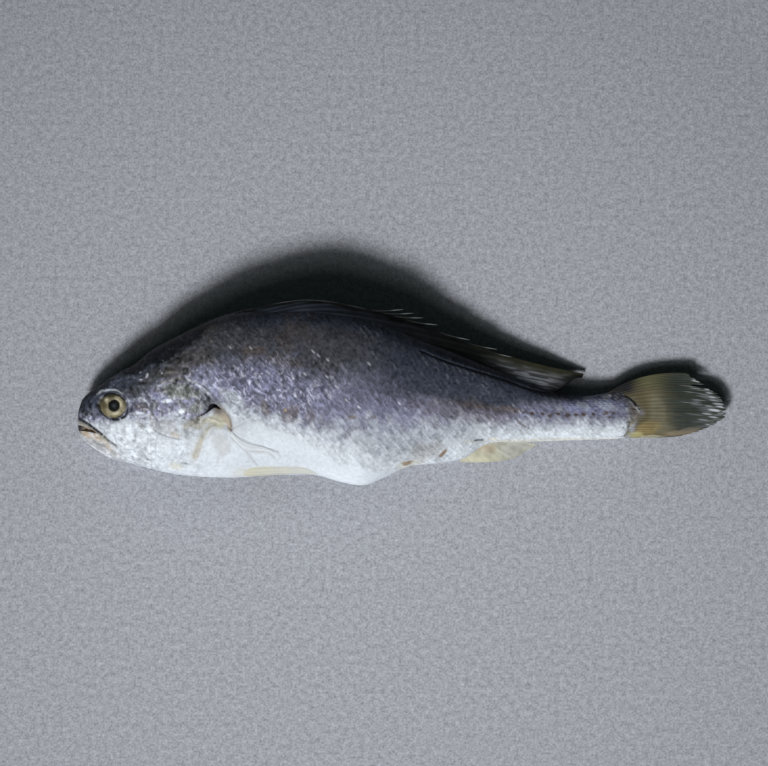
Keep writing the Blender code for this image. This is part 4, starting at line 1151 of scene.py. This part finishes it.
    def pieces(self, finish):
        """Moves the points outwards by the relief and parts the grid into the pieces of SKIN_PIECES."""
        points = self.points + self.outward * self.relief[..., None]
        points[..., 2] = np.maximum(points[..., 2], 0)
        points[0] = points[0].mean(axis=0)
        normals = ring_normals(points)
        first = 0
        for name, _, _, rings in SKIN_PIECES:
            last = first + rings + (NOSE_RINGS if first == 0 else 0)
            masks = {mask: values[first:last + 1] for mask, values in self.masks.items()}
            make_skin_piece(name, points[first:last + 1], normals[first:last + 1], masks, finish)
            first = last


def make_skin(finish):
    """The skin with everything on it, in three pieces."""
    skin = Skin()
    skin.ground_tones()
    skin.scales()
    skin.head()
    skin.marks()
    skin.openings()
    skin.pieces(finish)


def make_skin_piece(name, points, normals, masks, finish):
    """A length of the skin between two rings, closed at each end by a fan to the ring's middle.

    Where the first ring is the snout's single point, the second ring's fan takes its place.
    """
    around = points.shape[1]
    faces, fans = tube_faces(*points.shape[:2])
    middles = np.stack((points[0].mean(axis=0), points[-1].mean(axis=0)))
    if np.ptp(points[0], axis=0).max() < 1e-6:
        faces = faces[around:]
        fans[:around] += (around, 0, around)
    everything = np.concatenate((points.reshape(-1, 3), middles))
    facing = np.concatenate((normals.reshape(-1, 3), ((-1, 0, 0), (1, 0, 0))))
    used = np.zeros(len(everything), dtype=bool)
    used[faces] = True
    used[fans] = True
    renumbered = np.cumsum(used) - 1
    filled = {layer: np.append(values.ravel(), (values[0].mean(), values[-1].mean()))[used]
              for layer, values in masks.items()}
    shell = everything[used], renumbered[faces], renumbered[fans]
    wear(new_mesh(name, *shell, filled, finish, facing[used]), "croaker")


# Fins

def tail_fin(finish):
    """Rays from root through bend to tip, each a quadratic curve, with ridges along them and a frayed end.

    The ridges are a cosine across the fin, and each splits in two along the outer half of the rays.
    """
    rows, columns = TAIL_GRID
    roots, bends, tips = (along(line, columns) for line in (TAIL_ROOTS, TAIL_BENDS, TAIL_TIPS))
    across = np.linspace(0, 1, columns)
    random = np.random.default_rng(5)
    phase = TAIL_RAYS * across + 0.5 * (blend(random.random(TAIL_RAYS), across) - 0.5)
    reach = blend(random.uniform(-1, 1, TAIL_RAYS * 2 + 1), across)
    twin = 0.5 + 0.5 * np.cos(4 * np.pi * phase)
    end = TAIL_REACH + TAIL_FRAY[0] * reach + TAIL_FRAY[1] * (twin - 0.5)
    for centre, width, depth in TAIL_SPLITS:
        end = end - depth * np.exp(-(((across - centre) / width) ** 4))
    t = np.linspace(0, 1, rows)[:, None] * end[None, :]
    s = np.broadcast_to(across, t.shape)
    turn = t[..., None]
    flat = roots * (1 - turn) ** 2 + bends * 2 * turn * (1 - turn) + tips * turn**2
    height = blend(TAIL_HEIGHTS, across) - TAIL_CUP * np.sin(np.pi * across)
    middle = between((smooth(MID_HEIGHT, roots[:, 0]), height), ease(t / TAIL_LEVEL))
    split = after(t, 0.35, 0.3)
    ridge = (0.5 + 0.5 * np.cos(2 * np.pi * phase)) * (1 - split) + twin * split
    ripple = TAIL_RIDGE * (ridge - 0.5) + TAIL_WAVE * np.sin(7 * across + 5 * t)
    middle = middle + ripple * after(t, 0.1, 0.3)
    half = between(TAIL_THICKNESS, ease(t / 0.8)) / 2 * (0.95 + 0.05 * ridge)
    upper, lower = two_sides(flat, middle, half)
    masks = tail_masks(upper, s, np.broadcast_to(phase, t.shape))
    wear(plate("tail_fin", upper, lower, masks, finish), "croaker")


def tail_masks(upper, s, phase):
    """Colours of the tail, s being the place across it: warm at the root, dusky beyond, streaked by rays,
    with painted shadow and highlights.
    """
    x, y = upper[..., 0], upper[..., 1]
    grain = cloud(upper, *TAIL_GRAIN)
    strip = cloud(np.stack((x / 12, phase, 0 * x), axis=-1), *TAIL_STRIPS)
    masks = Masks(FIN_LAYERS, x.shape)
    masks.add_patches(TAIL_PATCHES, x, y, grain + 0.5 * (strip - 0.5))
    joint = level(TAIL_JOINT, y) - x + 6.0 * (grain - 0.5)
    masks.show("milk", 0.7 * after(joint, -0.5, 4.0) * before(y, -1.0, 4))
    masks.show("violet", 0.2 * after(joint, -3.0, 5.0) * before(y, 9, 3))
    dark = ease((x - 245.5 - 5 * before(y, 14, 24) + 5 * (strip - 0.5) + 4 * (grain - 0.5)) / 12)
    dark = dark * after(s, 0.02, 0.2)
    pale = after(x, 260, 8) * after(strip, 0.42, 0.2) * after(grain, 0.35, 0.3) * after(y, 1, 5)
    masks.show("dusk", dark * (0.95 + 0.3 * (strip - 0.5)) * (1 - 0.4 * pale))
    masks.show("violet", 0.4 * pale)
    core = before(np.abs(s - 0.38) / 0.4, 0.8, 0.5)
    masks.show("ink", 0.6 * after(x, 252, 6) * before(x, 275, 6) * core * strip)
    masks.show("ink", (0.08 + 0.08 * dark) * before(strip, 0.45, 0.25) * after(x, 241, 8))
    masks.show("ink", 0.8 * before(s, 0.03, 0.02) * after(x, 247, 4))
    # Painted shadow of the body on the fin's upper root
    masks.show("ink", 0.95 * before(x, 244, 8) * after(y, 7.0, 4))
    # Painted highlights on the rays' pale ends
    for x0, y0, length, width, strength in RAY_END_GLINTS:
        gap = np.hypot((x - x0) / length, (y - y0 + RAY_FALL * (x - x0)) / width)
        masks.show("pearl", strength * before(gap, 1.5, 1.1))
    masks.show("pearl", 0.12 * after(strip, 0.45, 0.3) * after(x, 262, 8))
    masks["tone"] = 0.52 + 0.3 * (grain - 0.5) + (0.24 + 0.08 * dark) * (strip - 0.5)
    return masks


def dorsal_fin(finish):
    """A band from the left of the ridge out past it, with its spines laid back along it as ridges.

    Each point is a share of the way from root to edge, and half a thickness to one side of it or the
    other. The thickness falls with the square of that share, and the ridges are a cosine across the band.
    """
    rows, columns = DORSAL_GRID
    root, edge = along(DORSAL_ROOT, rows), along(DORSAL_EDGE, rows)
    base = on_flank(root[:, 0], root[:, 1], 1, -DORSAL_SINK)
    ridge_z = section(edge[:, 0], 0.0)[:, 2]
    tip = np.stack((edge[:, 0], edge[:, 1], ridge_z + blend(DORSAL_RISES, np.linspace(0, 1, rows))), axis=1)
    t = np.linspace(0, 1, columns)[None, :]
    s = np.linspace(0, 1, rows)[:, None]
    cut = 0.85 * after(s, 0.9, 0.1)
    share = (cut + (1 - cut) * t)[..., None]
    middle = base[:, None] * (1 - share) + tip[:, None] * share
    thickness = blend(DORSAL_THICKNESS, s)
    half = (thickness + (DORSAL_EDGE_THICKNESS - thickness) * t**2) / 2
    spiny = 0.5 + 0.5 * np.cos(2 * np.pi * (DORSAL_RIDGES[0] * t - DORSAL_RIDGES[1] * s))
    ridge = spiny * (1 - after(s, 0.70, 0.06))
    wave = DORSAL_RIDGE * (ridge - 0.5) * ease(t / 0.25) * np.ones_like(s)
    shift = np.stack((np.zeros_like(half), DORSAL_LEAN * half, half), axis=2)
    rise = np.stack((np.zeros_like(half), 0.4 * wave, wave), axis=2)
    upper, lower = middle + shift + rise, middle - shift + rise
    wear(plate("dorsal_fin", upper, lower, dorsal_masks(upper, s, t, ridge), finish), "croaker")


def dorsal_masks(upper, s, t, ridge):
    """Colours at s along the fin and t out from its root: dusk and navy, partly painted shade of the body,
    silver and olive at its end, and a painted highlight on its rim.
    """
    x, y = upper[..., 0], upper[..., 1]
    grain = cloud(upper * (0.35, 1, 1), *DORSAL_GRAIN)
    streak = cloud(np.stack((x / 7, (y + 0.2 * x) / 0.75, 0 * x), axis=-1), *DORSAL_STREAKS)
    olive = after(s, 0.62, 0.14) * after(t, 0.45, 0.3)
    silver = after(s, 0.68, 0.12) * before(t, 0.9, 0.3) * ease(t / 0.15)
    silver = silver * (0.5 + 0.5 * after(streak, 0.36, 0.24)) * before(s, 0.99, 0.12)
    # Painted shade of the body on the fin near its root
    shade_near_body = before(t - 0.3 * (grain - 0.5), 0.80, 0.1) * before(s, 0.62, 0.2)
    # Painted highlight along the fin's outer rim
    rim = after(t, 0.90, 0.06) * before(s, 0.52, 0.1) * (0.3 + 0.7 * after(grain, 0.35, 0.3))
    masks = Masks(FIN_LAYERS, x.shape)
    masks.show("olive", 0.8 * olive)
    # The fin's dusky colour, deepened as painted shade
    masks.show("dusk", (0.85 - 0.3 * after(s, 0.66, 0.12)) * (1 - 0.5 * olive))
    masks.show("milk", 0.22 * silver)
    masks.show("violet", 0.6 * silver)
    masks.show("navy", 0.85 * shade_near_body)
    masks.show("pearl", 0.24 * silver * after(streak, 0.46, 0.2))
    masks.show("pearl", 0.2 * rim)
    # Painted shade over the rest of the fin, darker between its ridges
    ink = 0.62 + 0.2 * (1 - ridge) - 0.5 * shade_near_body
    masks.show("ink", ink * (1 - silver) * (1 - rim) * (1 - 0.55 * olive))
    masks["tone"] = 0.5 + 0.5 * (grain - 0.5)
    return masks


def dorsal_spines(finish):
    """The free tips of the spines: slender curved cones that leave the band towards the tail.

    Each is a circle carried along a sagging path over the ridge, and its radius is a power of what is left.
    """
    rings, around = SPINE_GRID
    band = along(DORSAL_EDGE, 200)
    turn = np.linspace(0, 2 * np.pi, around, endpoint=False)
    t = np.linspace(0, 1, rings)[:, None]
    radius = SPINE_RADII[1] + (SPINE_RADII[0] - SPINE_RADII[1]) * (1 - t) ** 0.7
    ring = np.stack((np.zeros((rings, around)), radius * np.cos(turn), radius * np.sin(turn)), axis=-1)
    points, faces, fans = [], [], []
    for number, (tip_x, tip_y) in enumerate(SPINE_TIPS):
        foot_x = tip_x - SPINE_LENGTH
        foot_y = min(tip_y - SPINE_SLOPE * SPINE_LENGTH, np.interp(foot_x, *band.T) - SPINE_SINK)
        rise = np.interp(foot_x, band[:, 0], blend(DORSAL_RISES, np.linspace(0, 1, len(band))))
        x = foot_x + SPINE_LENGTH * t
        y = between((foot_y, tip_y), t) - SPINE_SAG * np.sin(np.pi * t)
        path = np.stack((x, y, section(x, 0.0)[..., 2] + rise), axis=-1)
        points += [(path + ring).reshape(-1, 3), path[0] - (SPINE_CAP, 0, 0), path[-1] + (SPINE_CAP, 0, 0)]
        spine_faces, spine_fans = tube_faces(rings, around, number * (rings * around + 2))
        faces.append(spine_faces)
        fans.append(spine_fans)
    share = np.tile(np.append(np.repeat(t, around), (0.0, 1.0)), len(SPINE_TIPS))
    masks = Masks(FIN_LAYERS, share.shape)
    masks.show("dusk", 0.95)
    masks.show("ink", 0.6 * before(share, 0.8, 0.2))
    masks.show("milk", 0.22 * after(share, 0.58, 0.25))
    masks["tone"] = np.full(share.shape, 0.5)
    parts = (np.concatenate(arrays) for arrays in (points, faces, fans))
    wear(new_mesh("dorsal_spines", *parts, masks, finish), "croaker")


def anal_fin(finish):
    """A small fan that hangs from the belly behind the vent, with ridges from root to edge.

    Each point is a share of the way from root to edge, cut short by noise for the ragged end.
    """
    rows, columns = ANAL_GRID
    root, edge = along(ANAL_ROOT, columns), along(ANAL_EDGE, columns)
    t = np.linspace(0, 1, rows)[:, None]
    s = np.linspace(0, 1, columns)[None, :]
    ragged = 1 - ANAL_FRAY * noise(np.stack((s * 30, s * 0, s * 0), axis=-1), *ANAL_RAGS)
    reach = (t * ragged)[..., None]
    flat = root[None] * (1 - reach) + edge[None] * reach
    ridge = 0.5 + 0.5 * np.cos(2 * np.pi * ANAL_RAYS * s) * np.ones_like(t)
    middle = between(ANAL_HEIGHTS, t) + ANAL_RIDGE * (ridge - 0.5) * ease(t / 0.3)
    half = between(ANAL_THICKNESS, t) / 2 * (0.97 + 0.03 * ridge)
    upper, lower = two_sides(flat, middle, half)
    grain = cloud(upper, *ANAL_GRAIN)
    masks = Masks(FIN_LAYERS, half.shape)
    masks.show("silt", 0.6)
    masks.show("ochre", 0.5 * before(s, 0.06, 0.04))
    masks.add_patches(ANAL_PATCHES, flat[..., 0], flat[..., 1], grain)
    masks["tone"] = 0.48 + 0.3 * (grain - 0.5) + 0.05 * (ridge - 0.5)
    wear(plate("anal_fin", upper, lower, masks, finish), "croaker")


def paired_fin(name, lower_edge, upper_edge, side, tint, finish):
    """A folded blade pressed flat against the skin of one side, in the skin's own colour with a tint.

    It lies between two curves, and its lift falls with the root of the distance to its edges and ends.
    """
    rows, columns = PAIRED_GRID
    low, high = along(lower_edge, rows), along(upper_edge, rows)
    s = np.linspace(0, 1, rows)[:, None]
    t = np.linspace(0, 1, columns)[None, :]
    flat = low[:, None] * (1 - t[..., None]) + high[:, None] * t[..., None]
    ridge = 0.5 + 0.5 * np.cos(2 * PAIRED_RAYS * np.pi * t) * np.ones_like(s)
    edge = np.clip(4 * t * (1 - t), 0, 1) ** 0.5 * np.clip(8 * s * (1 - s), 0, 1) ** 0.5
    lift = PAIRED_LIFT * (1.4 * edge - 0.4) + PAIRED_RIDGE * (ridge - 0.5)
    outer = on_flank(flat[..., 0], flat[..., 1], side, lift)
    inner = on_flank(flat[..., 0], flat[..., 1], side, -PAIRED_SINK)
    grain = cloud(outer * (0.4, 1, 1), *PAIRED_GRAIN)
    masks = Masks(FIN_LAYERS, ridge.shape)
    masks.show("milk", 1.0)
    masks.show("yellow", tint * (0.6 + 0.8 * (1 - s)) * (0.6 + 0.8 * grain))
    masks.show("ink", 0.10 * (1 - np.clip(2.5 * ridge, 0, 1)) * ease(s / 0.1) * (0.5 + grain))
    masks["tone"] = 0.56 + 0.15 * (grain - 0.5) - 0.1 * tint
    outer[..., 2], inner[..., 2] = np.maximum(outer[..., 2], 0), np.maximum(inner[..., 2], 0)
    if side < 0:
        outer, inner = inner, outer
    wear(plate(name, outer, inner, masks, finish), "croaker")


# Eyes

def eyeball(name, node, side, finish):
    """A flattened ball on an axis along the head's normal: a full dome in front, half an ellipsoid behind.

    The dome's height is the root of what is left of one after a power of the distance from the axis.
    """
    x, y = EYE_PLACE
    probe_x = np.array((x, x - EYE_PROBE, x + EYE_PROBE, x, x))
    probe_y = np.array((y, y, y, y + EYE_PROBE, y - EYE_PROBE))
    here, ahead, behind, over, under = on_flank(probe_x, probe_y, side)
    forward, up = ahead - behind, over - under
    normal = np.cross(up, forward) * side
    normal /= np.linalg.norm(normal)
    forward /= np.linalg.norm(forward)
    axes = np.stack((forward, np.cross(normal, forward), normal))
    radius_x, radius_y, radius_z = EYE_RADII
    centre = here + normal * (EYE_SHOWS - radius_z)
    tilt = np.linspace(0, np.pi, EYE_GRID[0])[1:-1, None]
    turn = np.linspace(0, 2 * np.pi, EYE_GRID[1], endpoint=False)[None, :]
    radial = np.sin(tilt)
    dome = (1 - radial**EYE_FULLNESS) ** 0.5
    depth = np.where(tilt < np.pi / 2, dome, -np.abs(np.cos(tilt))) * np.ones_like(turn)
    wide, high = radius_x * radial * np.cos(turn), radius_y * radial * np.sin(turn)
    ball = np.stack((wide, high, radius_z * depth), axis=-1)
    poles = np.array(((0, 0, radius_z), (0, 0, -radius_z)))
    points = centre + np.concatenate((ball.reshape(-1, 3), poles)) @ axes
    faces, fans = tube_faces(*ball.shape[:2])
    a, b, c = (points[faces[:, k]] for k in (0, 1, 3))
    if (np.cross(b - a, c - a) * ((a + b + c) / 3 - centre)).sum() < 0:
        faces, fans = faces[:, ::-1], fans[:, ::-1]
    dx = points[:, 0] - x - PUPIL_OFFSET[0]
    dy = points[:, 1] - y - PUPIL_OFFSET[1]
    radius = np.hypot(dx, dy)
    grain = cloud(points, *EYE_GRAIN)
    spokes = noise(np.stack((np.arctan2(dy, dx) * 5, radius * 0.7, radius * 0), axis=-1), *EYE_SPOKES)
    masks = Masks(EYE_LAYERS, radius.shape)
    masks.add_patches(EYE_PATCHES, points[:, 0], points[:, 1], grain)
    masks.show("ink", 0.98 * ease((PUPIL_RADIUS + 0.3 * (grain - 0.5) - radius) / 0.5 + 0.5))
    # Painted highlight in the middle of the pupil
    masks.show("pupil_glint", 0.32 * np.exp(-((radius / 0.8) ** 2)))
    masks["tone"] = 0.5 + 0.35 * (grain - 0.5) + 0.3 * (spokes - 0.5)
    wear(new_mesh(name, points, faces, fans, masks, finish), node)


# Finishes

class Value:
    """A socket of a finish's nodes. Its operators add Math nodes."""

    def __init__(self, finish, socket):
        self.finish, self.socket = finish, socket

    def math(self, operation, first, second):
        """One Math node of two values."""
        return self.finish.add("ShaderNodeMath", {"operation": operation}, {0: first, 1: second})

    def __add__(self, other):
        return self.math("ADD", self, other)

    def __mul__(self, other):
        return self.math("MULTIPLY", self, other)

    def __sub__(self, other):
        return self.math("SUBTRACT", self, other)

    def __rsub__(self, other):
        return self.math("SUBTRACT", other, self)

    def __truediv__(self, other):
        return self.math("DIVIDE", self, other)

    __radd__ = __add__
    __rmul__ = __mul__


class Finish:
    """A material and its nodes, made one call at a time. The fixed values go on the shader's own sockets."""

    def __init__(self, name, fixed):
        self.material = bpy.data.materials.new(name)
        self.material.use_nodes = True
        self.tree = self.material.node_tree
        self.shader = self.tree.nodes["Principled BSDF"]
        for socket, value in fixed.items():
            self.shader.inputs[socket].default_value = value

    def add(self, kind, settings, values, output=0):
        """A node of a kind with its settings made first, then its sockets' values or links."""
        node = self.tree.nodes.new(kind)
        for setting, value in settings.items():
            setattr(node, setting, value)
        for socket, value in values.items():
            if isinstance(value, Value):
                self.tree.links.new(value.socket, node.inputs[socket])
            else:
                node.inputs[socket].default_value = value
        return Value(self, node.outputs[output])

    def mask(self, name):
        """A float attribute of the mesh."""
        return self.add("ShaderNodeAttribute", {"attribute_name": name}, {}, "Fac")

    def grain(self, size, detail=2.0):
        """Noise with features of a size in millimetres, round 0.5."""
        here = self.add("ShaderNodeTexCoord", {}, {}, "Object")
        values = {"Vector": here, "Scale": 1 / (size * MM), "Detail": detail}
        return self.add("ShaderNodeTexNoise", {}, values, "Fac")

    def mix(self, share, first, second):
        """One colour into another by a share."""
        return self.add("ShaderNodeMix", {"data_type": "RGBA"}, {0: share, 6: first, 7: second}, 2)

    def brighten(self, colour, factor):
        """A colour times a number."""
        return self.add("ShaderNodeVectorMath", {"operation": "SCALE"}, {0: colour, "Scale": factor})

    def bump(self, height, depth):
        """Sets the surface's normal from a height, with its depth in millimetres."""
        values = {"Height": height, "Distance": depth * MM, "Strength": 1.0}
        self.set("Normal", self.add("ShaderNodeBump", {}, values, "Normal"))

    def set(self, socket, value):
        """Links a value to a socket of the shader."""
        self.tree.links.new(value.socket, self.shader.inputs[socket])


def layered(name, ground, layers, rough, grain_size, depth, specular):
    """A finish whose colour starts at the ground and takes each layer in turn by its mask.

    Grain of a size in millimetres breaks up the layers, and is also the height of a bump of a depth.
    """
    finish = Finish(name, {"Specular IOR Level": specular})
    colour = ground
    fine, coarse = finish.grain(grain_size), finish.grain(grain_size * 5)
    for mask, tint in layers:
        share = finish.mask(mask)
        if mask not in ("ink", "pearl"):
            share = share * (0.8 + 0.4 * fine)
        colour = finish.mix(share, colour, tint)
    tone = finish.mask("tone")
    colour = finish.brighten(colour, (0.25 + 1.5 * tone) * (0.86 + 0.28 * fine))
    finish.set("Base Color", colour)
    finish.set("Roughness", rough + 0.25 * (coarse - 0.5))
    finish.bump(fine + 0.6 * coarse, depth)
    return finish.material


def floor_finish():
    """The pale grey ground, mottled, with painted light falloff: a little darker towards the top of the
    picture and away from its middle, and with painted shadow beside the belly.
    """
    finish = Finish("pale_ground", {"Roughness": 0.8})
    here = finish.add("ShaderNodeTexCoord", {}, {}, "Object")
    x = finish.add("ShaderNodeSeparateXYZ", {}, {0: here}, "X")
    y = finish.add("ShaderNodeSeparateXYZ", {}, {0: here}, "Y")
    # Painted falloff of the light across the ground
    painted_light = GROUND_TONE + PAINTED_LIGHT_SLOPES[0] * x + PAINTED_LIGHT_SLOPES[1] * y - PAINTED_LIGHT_FALL * (x * x + y * y)
    limits = {"Value": painted_light, "Min": GROUND_LIMITS[0], "Max": GROUND_LIMITS[1]}
    painted_light = finish.add("ShaderNodeClamp", {}, limits)
    fine, coarse = (share * (finish.grain(size, detail) - 0.5) for size, detail, share in GROUND_MOTTLES)
    # Painted shadow on the ground beside the belly
    off_x, off_y = (x - BELLY_SHADE[0]) / BELLY_SHADE[2], (y - BELLY_SHADE[1]) / BELLY_SHADE[3]
    near = x.math("POWER", BELLY_SHADE_EDGE, off_x * off_x + off_y * off_y)
    shade = painted_light * (1.0 + (fine + coarse)) * (1.0 - BELLY_DIMMING * near)
    finish.set("Base Color", finish.brighten(GROUND, shade))
    return finish.material


# Stage

def make_floor():
    """A large plane just under the fish."""
    mesh = bpy.data.meshes.new("floor")
    corners = [(x * GROUND_REACH, y * GROUND_REACH, 0) for x, y in ((-1, -1), (1, -1), (1, 1), (-1, 1))]
    mesh.from_pydata(corners, [], [(0, 1, 2, 3)])
    mesh.materials.append(floor_finish())
    floor = bpy.data.objects.new("floor", mesh)
    bpy.context.scene.collection.objects.link(floor)
    floor.location.z = -GROUND_DROP


def make_light():
    """Two lights from the lower left of the picture, one narrow and one broad, and a weak even fill."""
    for name, strength, angle in LIGHTS:
        lamp = bpy.data.lights.new(name, "SUN")
        lamp.energy = strength
        lamp.angle = np.radians(angle)
        lamp.color = LIGHT_COLOUR
        light = bpy.data.objects.new(name, lamp)
        light.rotation_euler = (np.radians(LIGHT_FALL), 0, np.radians(-LIGHT_TURN))
        bpy.context.scene.collection.objects.link(light)
    world = bpy.data.worlds.new("fill")
    world.use_nodes = True
    background = world.node_tree.nodes["Background"]
    background.inputs["Color"].default_value = FILL_COLOUR
    background.inputs["Strength"].default_value = FILL_STRENGTH
    bpy.context.scene.world = world


def make_camera():
    """The camera looks straight down, with the back of the fish towards the top of the picture."""
    camera = bpy.data.cameras.new("camera")
    camera.lens = LENS
    camera.sensor_width = SENSOR
    camera.clip_start = 0.01
    camera.clip_end = 50
    eye = bpy.data.objects.new("camera", camera)
    distance_up = PICTURE_WIDTH * LENS / SENSOR
    eye.location = place(np.array((*PICTURE_CENTRE, FOCUS_HEIGHT + distance_up)))
    bpy.context.scene.collection.objects.link(eye)
    bpy.context.scene.camera = eye


def main():
    """The stage, the skin, the fins and the eyes."""
    bpy.context.scene.view_settings.view_transform = "Standard"
    make_camera()
    make_light()
    make_floor()
    skin, fin, eye = (layered(*finish) for finish in FINISHES)
    make_skin(skin)
    tail_fin(fin)
    dorsal_fin(fin)
    dorsal_spines(fin)
    anal_fin(fin)
    for side, word in ((1, "left"), (-1, "right")):
        paired_fin(f"pectoral_{word}", PECTORAL_LOWER, PECTORAL_UPPER, side, PECTORAL_TINT, fin)
        paired_fin(f"pelvic_{word}", PELVIC_LOWER, PELVIC_UPPER, side, PELVIC_TINT, fin)
        eyeball(f"eyeball_{word}", f"eye_{word}", side, eye)


main()
